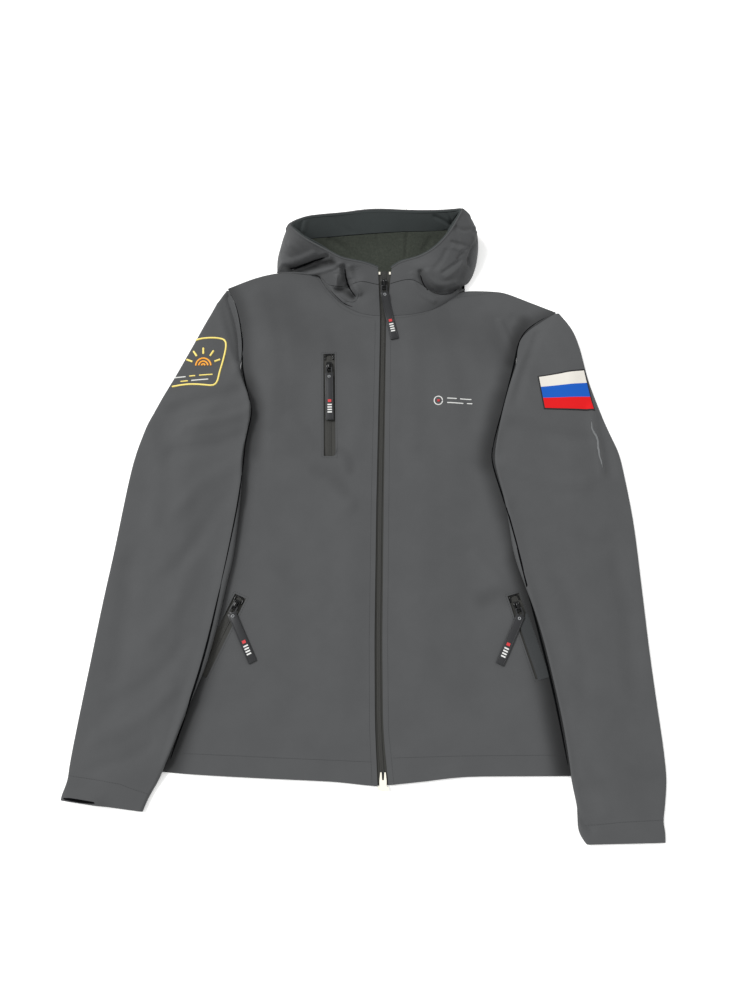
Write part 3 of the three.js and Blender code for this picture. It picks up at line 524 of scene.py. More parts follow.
# Softshell is a matt polyester weave bonded to fleece: dark grey, with a faint bloom at grazing angles.
SHELL = WovenFinish(
    "softshell_weave", "#4A4B4C", "#424344", 0.86, 0.3, sheen=0.06, grain_mm=38, bump_mm=0.05,
)
# The facing is the same cloth on its duller side.
FACING = WovenFinish(
    "softshell_facing", "#363B3B", "#303434", 0.9, 0.3, sheen=0.04, grain_mm=25, bump_mm=0.05,
)
# Painted shadow: near-black cloth colour standing in for the shade inside a deep fold, where hardly any
# light reaches.
PAINTED_FOLD_SHADOW = WovenFinish("softshell_painted_fold_shadow", "#0C0D0E", "#090A0A", 0.95, 0.0, grain_mm=25, bump_mm=0.05)
# Painted highlight: the shell cloth coloured lighter along the crest of a sharp fold, where the
# stretched weave catches the window.
PAINTED_CREST_HIGHLIGHT = WovenFinish("softshell_painted_fold_highlight", "#6A6C6D", "#606263", 0.8, 0.4, grain_mm=25, bump_mm=0.05)
# Painted shade: the shell cloth coloured darker, standing in for cloth turned away from the window and
# half in its own shade.
PAINTED_HALF_SHADE = WovenFinish("softshell_painted_half_shade", "#37393A", "#303233", 0.9, 0.2, grain_mm=25, bump_mm=0.05)
# Microfleece: dark olive, soft and without gloss.
FLEECE = Finish(
    "olive_microfleece", "#3C4039", "#31352F", 0.97, 0.2, 0.15,
    grain_mm=3, grain_mix=0.7, bump_mm=0.4, bump_grain_mm=1.6,
)
# Zip tape is a flat narrow weave with a slight shine along its threads.
TAPE = WovenFinish(
    "zip_tape_weave", "#30302D", "#292927", 0.7, 0.4, grain_mm=6, bump_mm=0.06, thread_mm=0.9,
)
# Nylon coil, set and dyed dark, which catches small lights.
COIL = Finish("nylon_coil", "#2E2E2C", "#242423", 0.36, 0.4, grain_mm=5)
# Die-cast slider under black enamel: almost a mirror.
ENAMEL = Finish("black_enamel", "#08090A", "#0E0F10", 0.14, 0.3, grain_mm=3)
# Soft moulded PVC strip: satin black, with wide dull lights.
RUBBER = Finish(
    "black_moulded_rubber", "#202123", "#28292C", 0.4, 0.4,
    grain_mm=12, bump_mm=0.015, bump_grain_mm=0.5,
)
# Acetal moulding, ivory and slightly waxy.
IVORY = Finish("ivory_acetal", "#ECE8DA", "#E2DDCB", 0.42, grain_mm=2)
# Polyester sewing thread, a little darker than the shell, so that a row reads as a fine dotted line.
DARK_THREAD = Finish("dark_thread", "#2B2D2E", "#1F2122", 0.6, grain_mm=1)
# Embroidery threads: trilobal polyester with a silky gloss, in four colours.
YELLOW_THREAD = Finish(
    "yellow_satin_thread", "#F3DF79", "#E8C94E", 0.5,
    sheen=0.2, grain_mm=1.5, bump_mm=0.1, bump_grain_mm=0.4,
)
ORANGE_THREAD = Finish(
    "orange_satin_thread", "#F2A41B", "#E38F10", 0.5,
    sheen=0.2, grain_mm=1.5, bump_mm=0.1, bump_grain_mm=0.4,
)
PALE_THREAD = Finish("pale_satin_thread", "#D8D9D6", "#C4C6C4", 0.5, sheen=0.2, grain_mm=1.5)
RED_THREAD = Finish("red_satin_thread", "#C4252B", "#AD1D23", 0.5, sheen=0.2, grain_mm=1.5)
# Small pressed eyelet, bare steel that sparkles.
STEEL = Finish("pressed_steel_eyelet", "#8E9092", "#7E8082", 0.22, grain_mm=2)
# Dense woven patch: three bright stripes with a dull silk face.
FLAG = FlagFinish("flag_weave", "#D3CFC7", "#D3CFC7", 0.75, 0.25, bump_mm=0.08, bump_grain_mm=0.7)
# Sheet of white paper lit from below, so hardly any shadow shows on it.
FLOOR = Finish("white_light_table", "#FBFBFA", "#F8F8F7", 0.9, glow=0.25, grain_mm=400)


# Meshes


def piece_from(
    bm: bmesh.types.BMesh, name: str, finish: Finish, sharp: float = 35.0
) -> bpy.types.Object:
    """Make an object of a bmesh.

    Args:
        bm: The mesh, which is freed.
        name: The piece's name.
        finish: What it is made of.
        sharp: Angle in degrees past which an edge is drawn crisp.

    Returns:
        The object, linked to the scene.
    """
    mesh = bpy.data.meshes.new(name)
    bm.to_mesh(mesh)
    bm.free()
    mesh.shade_smooth()
    mesh.set_sharp_from_angle(angle=math.radians(sharp))
    mesh.materials.clear()
    mesh.materials.append(finish.material())
    made = bpy.data.objects.new(name, mesh)
    bpy.context.scene.collection.objects.link(made)
    return made


def riding(
    made: bpy.types.Object, body: str = JACKET, stands_for: Sequence[str] = ()
) -> bpy.types.Object:
    """Let a piece ride on a body.

    Args:
        made: The piece.
        body: The body's name.
        stands_for: CAD nodes that it replaces.

    Returns:
        The piece.
    """
    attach(made, body)
    if stands_for:
        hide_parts(*stands_for)
    triangles = sum(len(face.vertices) - 2 for face in made.data.polygons)
    log.info("%s: %d triangles", made.name, triangles)
    return made


def baked(made: bpy.types.Object, name: str, finish: Finish, sharp: float = 35.0) -> bpy.types.Object:
    """Turn an object with live modifiers, or a curve, into a plain mesh piece.

    Args:
        made: The object, which is removed.
        name: The piece's name.
        finish: What it is made of.
        sharp: Angle in degrees past which an edge is drawn crisp.

    Returns:
        The piece.
    """
    graph = bpy.context.evaluated_depsgraph_get()
    mesh = bpy.data.meshes.new_from_object(made.evaluated_get(graph))
    bpy.data.objects.remove(made)
    bm = bmesh.new()
    bm.from_mesh(mesh)
    bpy.data.meshes.remove(mesh)
    return piece_from(bm, name, finish, sharp)


def welded(node: str) -> bmesh.types.BMesh:
    """Copy a CAD node's mesh and merge its loose triangles.

    Args:
        node: The node's name.

    Returns:
        The copy.
    """
    bm = bmesh.new()
    bm.from_mesh(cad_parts[node].data)
    bmesh.ops.remove_doubles(bm, verts=bm.verts, dist=0.002 * MM)
    return bm


def softened(node: str, name: str, finish: Finish, offset_mm: float = 0.35) -> bpy.types.Object:
    """Copy a hard CAD node and round its edges a little.

    Args:
        node: The node's name.
        name: The piece's name.
        finish: What it is made of.
        offset_mm: Width of the rounding.

    Returns:
        The piece.
    """
    bm = welded(node)
    bmesh.ops.dissolve_limit(bm, angle_limit=math.radians(2), verts=bm.verts, edges=bm.edges)
    bend = math.radians(30)
    edges = [edge for edge in bm.edges if edge.is_manifold and edge.calc_face_angle(0) > bend]
    bmesh.ops.bevel(
        bm,
        geom=edges,
        offset=offset_mm * MM,
        offset_type="OFFSET",
        segments=2,
        profile=0.5,
        affect="EDGES",
        material=-1,
        clamp_overlap=True,
    )
    return piece_from(bm, name, finish, 50)


def tree_of(mesh: bpy.types.Mesh) -> BVHTree:
    """Make a mesh's search tree.

    Args:
        mesh: The mesh.

    Returns:
        The tree.
    """
    bm = bmesh.new()
    bm.from_mesh(mesh)
    tree = BVHTree.FromBMesh(bm)
    bm.free()
    return tree


@dataclass(frozen=True)
class Crease:
    """Soft ridge, or trough where the height is negative, along pixels of the photograph.

    Attributes:
        route: Pixels that it runs through.
        half: Half of its width in millimetres.
        height: How far it moves the cloth, in millimetres.
        surface: Height of the cloth where the camera doesn't see it, in millimetres.
        way: The way that it moves the cloth.
        sharp: Power that narrows its crest.
        layer: Which part of the cloth follows it.
        shade: How much painted shade it puts into the cloth's colour, from 0 to 1.
    """

    route: Route
    half: float
    height: float
    surface: float = CLOTH_TOP
    way: Triple = (0.0, 0.0, 1.0)
    sharp: float = 1.0
    layer: Layer = Layer.WHOLE
    shade: float = 0.0

    def laid_on(self, tree: BVHTree) -> list[Vector]:
        """Lay the route on the cloth as the camera sees it.

        Args:
            tree: The cloth's search tree.

        Returns:
            The line, at the height "surface" where the camera doesn't see the cloth.
        """
        points = []
        for pixel in rounded([Vector((px, py, 0.0)) for px, py in self.route]):
            hit = tree.ray_cast(VIEW.place(), VIEW.ray(pixel.x, pixel.y))[0]
            points.append(hit or VIEW.seen(pixel.x, pixel.y, self.surface))
        return points

    def shares(self, line: Sequence[Vector], places: np.ndarray) -> np.ndarray:
        """Find how fully each place follows the crease, from 0 to 1.

        Args:
            line: The route on the cloth.
            places: One row for each vertex.

        Returns:
            One share for each row.
        """
        nearest = np.full(len(places), self.half * MM)
        for start, end in zip(line, line[1:]):
            run = np.array(end - start)
            away = places - np.array(start)
            along = np.clip(away @ run / max(run @ run, 1e-12), 0.0, 1.0)
            nearest = np.minimum(nearest, np.linalg.norm(away - along[:, None] * run, axis=1))
        return (0.5 + 0.5 * np.cos(math.pi * nearest / (self.half * MM))) ** self.sharp


@dataclass
class ClothPiece:
    """A cut piece of cloth on the form of its CAD solid, smoother and with its creases.

    Attributes:
        node: The CAD node that it replaces.
        flat: Width and length of the cut in metres, all round for a tube, not used.
        area: Area of the cut in square metres, not used.
        finish: Its cloth.
        levels: How often the form is smoothed.
        creases: Its creases.
        held: How the cloth is held, not used.
        rests_on: What it lies on, not used.
        slot: Name of a material slot, not used.
        seam_angle: Angle in degrees past which an edge of the solid stays an edge.
        curl: How soon a tube's side counts as its upper layer.
    """

    node: str
    flat: Point
    area: float
    finish: Finish = SHELL
    levels: int = 2
    creases: tuple[Crease, ...] = ()
    held: str = "laid"
    rests_on: tuple[str, ...] = ()
    slot: str = "shell"
    seam_angle: float = 55.0
    curl: float = 1.4

    def build(self) -> bpy.types.Object:
        """Make the piece and replace its CAD node.

        Returns:
            The piece.
        """
        bm = welded(self.node)
        bmesh.ops.join_triangles(
            bm,
            faces=bm.faces,
            angle_face_threshold=math.radians(25),
            angle_shape_threshold=math.radians(60),
        )
        crease = bm.edges.layers.float.new("crease_edge")
        for edge in bm.edges:
            if edge.is_manifold and edge.calc_face_angle(0) > math.radians(self.seam_angle):
                edge[crease] = 1.0
        rough = piece_from(bm, f"{self.node}_rough", self.finish)
        modifier = rough.modifiers.new("smooth", "SUBSURF")
        modifier.levels = modifier.render_levels = self.levels
        made = baked(rough, f"{self.node}_cloth", self.finish)
        self.press(made.data)
        return riding(made, stands_for=[self.node])

    def press(self, mesh: bpy.types.Mesh) -> None:
        """Press the creases into the cloth, never below the floor, and paint their shade into the
        cloth's colour.

        Args:
            mesh: The piece's mesh.
        """
        if not self.creases:
            return
        places = np.empty(len(mesh.vertices) * 3)
        mesh.vertices.foreach_get("co", places)
        places = places.reshape(-1, 3)
        tree = tree_of(mesh)
        moves = {layer: np.zeros_like(places) for layer in Layer}
        # Painted shade: each crease with a shade darkens the cloth's colour, kept in the mesh's shade
        # attribute.
        light = np.ones(len(places))
        for crease in self.creases:
            way = np.array(Vector(crease.way).normalized()) * crease.height * MM
            shares = crease.shares(crease.laid_on(tree), places)
            moves[crease.layer] += shares[:, None] * way
            light *= 1.0 - crease.shade * shares
        shade = mesh.attributes.new(PAINTED_SHADE, "FLOAT", "POINT")
        shade.data.foreach_set("value", 1.0 - light)
        move = moves[Layer.WHOLE]
        for index in np.flatnonzero(np.any(moves[Layer.TOP_ONLY], axis=1)):
            vertex = mesh.vertices[int(index)]
            move[index] += moves[Layer.TOP_ONLY][index] * self.top_share(tree, vertex.co, vertex.normal)
        places += move
        places[:, 2] = np.maximum(places[:, 2], 0.0)
        mesh.vertices.foreach_set("co", places.ravel())
        mesh.update()

    def top_share(self, tree: BVHTree, place: Vector, normal: Vector) -> float:
        """Find how much a place belongs to the upper layer of a tube, both of its faces alike.

        Args:
            tree: The tube's search tree.
            place: The place on the tube.
            normal: The way that the cloth faces there.

        Returns:
            A share from 0 to 1.
        """
        above = [normal.z]
        start = raised(place, 0.05)
        while len(above) < 3:
            hit, over, _, _ = tree.ray_cast(start, UP)
            if hit is None:
                break
            above.append(over.z)
            start = raised(hit, 0.05)
        return 0.0 if len(above) > 2 else soft_step(above[-1] * self.curl)

    def declare(self, made: bpy.types.Object, with_pieces: Sequence[bpy.types.Object] = ()) -> None:
        """Do nothing: the piece's cut of cloth is not declared here.

        Args:
            made: The piece, not used.
            with_pieces: What is sewn on it, not used.
        """


class Probe:
    """Finds the top of some pieces under a place on the plan."""

    def __init__(self, pieces: Sequence[bpy.types.Object]) -> None:
        """Take the pieces' meshes as they are now.

        Args:
            pieces: The pieces to look for.
        """
        self.trees = [tree_of(made.data) for made in pieces]

    def top(self, place: Vector) -> tuple[Vector, Vector] | None:
        """Find the highest point over a place.

        Args:
            place: The place; its height doesn't matter.

        Returns:
            The point and its normal, or None where there is no piece.
        """
        best: tuple[Vector, Vector] | None = None
        for tree in self.trees:
            point, normal, _, _ = tree.ray_cast(Vector((place.x, place.y, PROBE_FROM)), -UP)
            if point is not None and (best is None or point.z > best[0].z):
                best = (point, normal)
        return best

    def under_pixels(self, route: Iterable[Point], above: float = 0.0) -> list[Vector]:
        """Find what the camera sees of the pieces along pixels of the photograph.

        Args:
            route: The pixels.
            above: How far off the surface the points stand, in metres.

        Returns:
            The places along the rounded route, but for those where no piece is seen.
        """
        points = []
        eye = VIEW.place()
        for pixel in rounded([Vector((px, py, 0.0)) for px, py in route]):
            hits = [tree.ray_cast(eye, VIEW.ray(pixel.x, pixel.y)) for tree in self.trees]
            near = [hit for hit in hits if hit[0] is not None]
            if near:
                point, normal, _, _ = min(near, key=lambda hit: hit[3])
                points.append(point + normal * above)
        return points

    def laid(self, route: Sequence[Vector], pitch: float, above: float = 0.0) -> list[Vector]:
        """Lay a route on the pieces, with a point every so often.

        Args:
            route: Corners of the route.
            pitch: Distance between points, in metres.
            above: How far off the surface the points stand, in metres.

        Returns:
            The points.
        """
        laid = []
        for place, _ in divided(route, pitch):
            hit = self.top(place)
            if hit:
                laid.append(hit[0] + hit[1] * above)
        return laid


def seeds(name: str, places: Iterable[Matrix], finish: Finish) -> bpy.types.Object:
    """Make one mesh of many small rounded seeds, such as stitches or coil turns.

    Args:
        name: The piece's name.
        places: One matrix for each seed, a ball of radius 1.
        finish: What they are made of.

    Returns:
        The seeds as one piece.
    """
    bm = bmesh.new()
    for place in places:
        bmesh.ops.create_icosphere(bm, subdivisions=1, radius=1.0, matrix=place)
    return piece_from(bm, name, finish, 180)


def lying(point: Vector, way: Vector, normal: Vector, size: Triple) -> Matrix:
    """Place a small form so that it lies along a way on a surface.

    Args:
        point: Its middle.
        way: The way that it lies.
        normal: The way that the surface faces.
        size: Half of its length, width and thickness in millimetres.

    Returns:
        The matrix.
    """
    side = normal.cross(way).normalized()
    along = side.cross(normal).normalized()
    turn = Matrix((along, side, normal)).transposed().to_4x4()
    return Matrix.Translation(point) @ turn @ Matrix.Diagonal((*(s * MM for s in size), 1.0))


def stitches(name: str, routes: Sequence[Sequence[Vector]], probe: Probe) -> bpy.types.Object:
    """Sew rows of dark stitches on a surface, but not on its steep sides.

    Args:
        name: The piece's name.
        routes: One route for each row.
        probe: The cloth that is sewn.

    Returns:
        The rows as one piece, riding with the shell.
    """
    half_length, half_width, half_thickness = 0.37 * STITCH_PITCH, 0.32, 0.2
    size = (half_length, half_width, half_thickness)
    steep = 0.15
    places = []
    for route in routes:
        for place, way in divided(route, STITCH_PITCH * MM):
            hit = probe.top(place)
            if hit and hit[1].z > steep:
                places.append(lying(hit[0], way, hit[1], size))
    return riding(seeds(name, places, DARK_THREAD))


def rib(
    name: str,
    points: Sequence[Vector],
    radius_mm: float,
    finish: Finish,
    closed: bool = False,
    ends: float = 1.0,
) -> bpy.types.Object:
    """Make a round rib through points, such as a satin-stitched line or a moulded frame.

    Args:
        name: The piece's name.
        points: The places that it runs through.
        radius_mm: Its radius in the middle.
        finish: What it is made of.
        closed: Whether it is a ring.
        ends: Share of the radius that is left at its ends.

    Returns:
        The rib.
    """
    curve = bpy.data.curves.new(name, "CURVE")
    curve.dimensions = "3D"
    curve.bevel_depth = radius_mm * MM
    curve.bevel_resolution = 2
    curve.use_fill_caps = not closed
    spline = curve.splines.new("POLY")
    spline.points.add(len(points) - 1)
    for index, (knot, point) in enumerate(zip(spline.points, points)):
        knot.co = (*point, 1.0)
        knot.radius = ends + (1 - ends) * math.sin(math.pi * index / (len(points) - 1)) ** 0.7
    spline.use_cyclic_u = closed
    line = bpy.data.objects.new(name, curve)
    bpy.context.scene.collection.objects.link(line)
    return baked(line, name, finish, 50)


def coil(name: str, route: Sequence[Vector], probe: Probe, half_mm: float) -> bpy.types.Object:
    """Lay the turns of a closed nylon coil along a zip, one side after the other.

    Args:
        name: The piece's name.
        route: The zip's middle line.
        probe: The tape or teeth that it lies on.
        half_mm: Half of its width.

    Returns:
        The coil as one piece, riding with the tape.
    """
    off_middle, lean = 0.45, 0.25
    size = (half_mm * 0.62, COIL_PITCH * 0.36, 0.42)
    places = []
    for index, (place, way) in enumerate(divided(route, COIL_PITCH * MM)):
        hit = probe.top(place)
        if not hit:
            continue
        side = 1 if index % 2 else -1
        across = Vector((-way.y, way.x, 0)) * side
        point = hit[0] + across * half_mm * off_middle * MM
        slant = (across + way * lean * side).normalized()
        places.append(lying(point, slant, hit[1], size))
    return riding(seeds(name, places, COIL))


@dataclass(frozen=True)
class FoldLine:
    """Line in a fold along pixels of the photograph: painted shadow by default, else a painted highlight
    or a shell edge.

    Attributes:
        route: Pixels that it runs through.
        radius: Half of its thickness in millimetres.
        above: How far its middle is off the cloth, in millimetres, negative where it is sunk in.
        finish: Its colour, by default the painted fold shadow.
        ends: Share of the radius that is left at its ends.
    """

    route: Route
    radius: float
    above: float
    finish: Finish = PAINTED_FOLD_SHADOW
    ends: float = 0.1

    def build(self, name: str, probe: Probe) -> bpy.types.Object:
        """Lay the line on the cloth as the camera sees it.

        Args:
            name: The piece's name.
            probe: The cloth.

        Returns:
            The line, riding with the shell.
        """
        line = probe.under_pixels(self.route, self.above * MM)
        return riding(rib(name, line, self.radius, self.finish, ends=self.ends))


# Sub-assemblies

# Inner edges of the sleeves in the photograph: the armhole seam, then the fold that lies on the body.
RIGHT_EDGE: Route = (
    (228, 290), (235, 303), (241, 330), (241, 366), (247, 393), (252, 411), (246, 437), (243, 462),
    (238, 500), (230, 540), (219, 590), (205, 650), (187, 706), (168, 762),
)
LEFT_EDGE: Route = (
    (556, 314), (524, 332), (516, 356), (509, 384), (498, 427), (492, 458), (497, 480), (508, 512),
    (520, 556), (533, 610), (548, 668), (558, 712), (569, 770),
)


# In the tables below, a crease's numbers are its half width and its height in millimetres. A crease of
# height 0 only paints shade into the cloth's colour.


@dataclass
class Body:
    """Back, two fronts, hem and topstitching.

    Attributes:
        right_edge: Edge of the wearer's right front along the zip, on the plan.
        left_edge: The same of the left front.
        topstitch_mm: Distance of the topstitching from the edge.
        hem_rows: Pixels of the hem's stitching on each front.
        neck_rows: Pixels of the stitching under the collar on each front.
        hem_top: Height of the cloth at the hem.
        panels: The back and the fronts with their creases.
        made: The finished panels.
    """

    right_edge: Route = (
        (-6.3, -1.3), (-7.8, 31), (-9.4, 62), (-10, 167), (-7.7, 339), (-2.7, 574), (-2.6, 600),
    )
    left_edge: Route = (
        (6.3, -0.3), (2.8, 36), (0.1, 62), (-0.5, 167), (1.8, 339), (5.6, 574), (6.4, 600),
    )
    topstitch_mm: float = 6.5
    hem_rows: tuple[Route, ...] = (
        ((150, 752), (239, 756), (281, 758), (372, 762)),
        ((393, 758), (460, 756), (575, 755)),
    )
    neck_rows: tuple[Route, ...] = (
        ((316, 276), (327, 293), (341, 308), (355, 315), (373, 318.5)),
        ((391, 318.5), (405, 317.5), (424, 314), (441, 306), (456, 297), (492, 292)),
    )
    hem_top: float = 5.0
    panels: dict[str, ClothPiece] = field(default_factory=lambda: {
        "back": ClothPiece("back", (0.54, 0.70), 0.296, levels=1, rests_on=("floor",)),
        "front_right": ClothPiece(
            "front_right", (0.27, 0.69), 0.143, rests_on=("back_cloth",), levels=3,
            creases=(
                Crease(tuple((x + 3, y) for x, y in RIGHT_EDGE[4:9]), 22, -1.6, sharp=1.2),
                Crease(((194, 706), (172, 766)), 18, -1.6),
                Crease(tuple((x + 1, y) for x, y in RIGHT_EDGE), 24, 0.0, sharp=1.3, shade=0.42),
                Crease(((246, 385), (255, 412), (250, 450)), 24, 0.0, shade=0.3),
                Crease(((212, 640), (192, 706), (172, 768)), 26, 0.0, shade=0.4),
                Crease(((262, 300), (300, 325), (330, 350)), 60, 0.0, shade=0.14),
                Crease(((290, 400), (300, 440)), 50, 0.0, shade=0.06),
                Crease(((334, 448), (349, 455), (352, 470)), 11, -1.2, shade=0.12),
                Crease(((318, 470), (330, 476), (344, 492)), 16, -1.0, shade=0.1),
                Crease(((258, 296), (268, 330), (274, 372), (268, 420)), 22, 2.0),
                Crease(((243, 330), (250, 372), (262, 420), (262, 470)), 13, -1.2),
                Crease(((296, 296), (312, 345), (302, 410)), 30, -2.0),
                Crease(((346, 330), (362, 400), (352, 452)), 22, 1.3),
                Crease(((292, 420), (326, 468), (348, 505)), 17, 1.5),
                Crease(((345, 500), (352, 580), (346, 680)), 32, 1.8),
                Crease(((286, 500), (298, 600), (292, 700)), 36, -1.6),
                Crease(((262, 560), (300, 600), (330, 616)), 16, 1.2),
            ),
        ),
        "front_left": ClothPiece(
            "front_left", (0.26, 0.66), 0.139, rests_on=("back_cloth",), levels=3,
            creases=(
                Crease(tuple((x - 3, y) for x, y in LEFT_EDGE[3:8]), 22, -1.4, sharp=1.2),
                Crease(((552, 712), (565, 768)), 18, -1.6),
                Crease(tuple((x - 1, y) for x, y in LEFT_EDGE), 26, 0.0, sharp=1.3, shade=0.5),
                Crease(((524, 560), (540, 640), (556, 712), (567, 772)), 34, 0.0, sharp=1.2, shade=0.55),
                Crease(((524, 322), (518, 338), (512, 362)), 16, 0.0, shade=0.4),
                Crease(((500, 400), (490, 440), (486, 460)), 26, 0.0, shade=0.3),
                Crease(((430, 325), (480, 330), (500, 350)), 60, 0.0, shade=0.14),
                Crease(((482, 600), (500, 590), (508, 600)), 16, 0.0, shade=0.15),
                Crease(((514, 318), (526, 323), (536, 328)), 11, -1.2),
                Crease(((500, 322), (507, 337), (516, 358)), 9, 2.3, sharp=1.3),
                Crease(((517, 330), (524, 343), (528, 354)), 9, -1.3),
                Crease(((452, 316), (462, 360), (474, 420)), 26, -2.0),
                Crease(((482, 318), (494, 360), (503, 414)), 20, 1.9),
                Crease(((410, 340), (416, 400), (412, 450)), 20, 1.2),
                Crease(((424, 470), (418, 560), (424, 660)), 32, 1.8),
                Crease(((478, 470), (470, 590), (476, 700)), 38, -1.6),
                Crease(((476, 556), (496, 577), (512, 606)), 14, 1.5),
                Crease(((440, 600), (470, 640), (520, 700)), 20, 1.0),
            ),
        ),
    })
    made: dict[str, bpy.types.Object] = field(default_factory=dict)

    def build(self) -> None:
        """Make the panels and their stitches."""
        for name, panel in self.panels.items():
            self.made[name] = panel.build()
        fronts = Probe([self.made["front_right"], self.made["front_left"]])
        rows = [
            [plan(x - self.topstitch_mm, y) for x, y in self.right_edge],
            [plan(x + self.topstitch_mm, y) for x, y in self.left_edge],
        ]
        along_zip = stitches("zip_topstitch", rows, fronts)
        hem = stitches("hem_stitch", [seen(row, self.hem_top) for row in self.hem_rows], fronts)
        neck = stitches("neck_stitch", [seen(row) for row in self.neck_rows], fronts)
        self.panels["back"].declare(self.made["back"])
        self.panels["front_right"].declare(self.made["front_right"], [along_zip, hem, neck])
        self.panels["front_left"].declare(self.made["front_left"])


# Height of a sleeve's upper face above the floor, in millimetres.
SLEEVE_TOP = 10.0
# The sleeves' creases as measured look flat in the soft light, so they are all made this much deeper.
SLEEVE_LIFT = 1.35


def upper(route: Route, half: float, height: float, sharp: float = 1.0) -> Crease:
    """Make a crease in the upper layer of a sleeve.

    Args:
        route: Pixels that it runs through.
        half: Half of its width in millimetres.
        height: Its height in millimetres before it is deepened.
        sharp: Power that narrows its crest.

    Returns:
        The crease.
    """
    return Crease(route, half, height * SLEEVE_LIFT, SLEEVE_TOP, sharp=sharp, layer=Layer.TOP_ONLY)


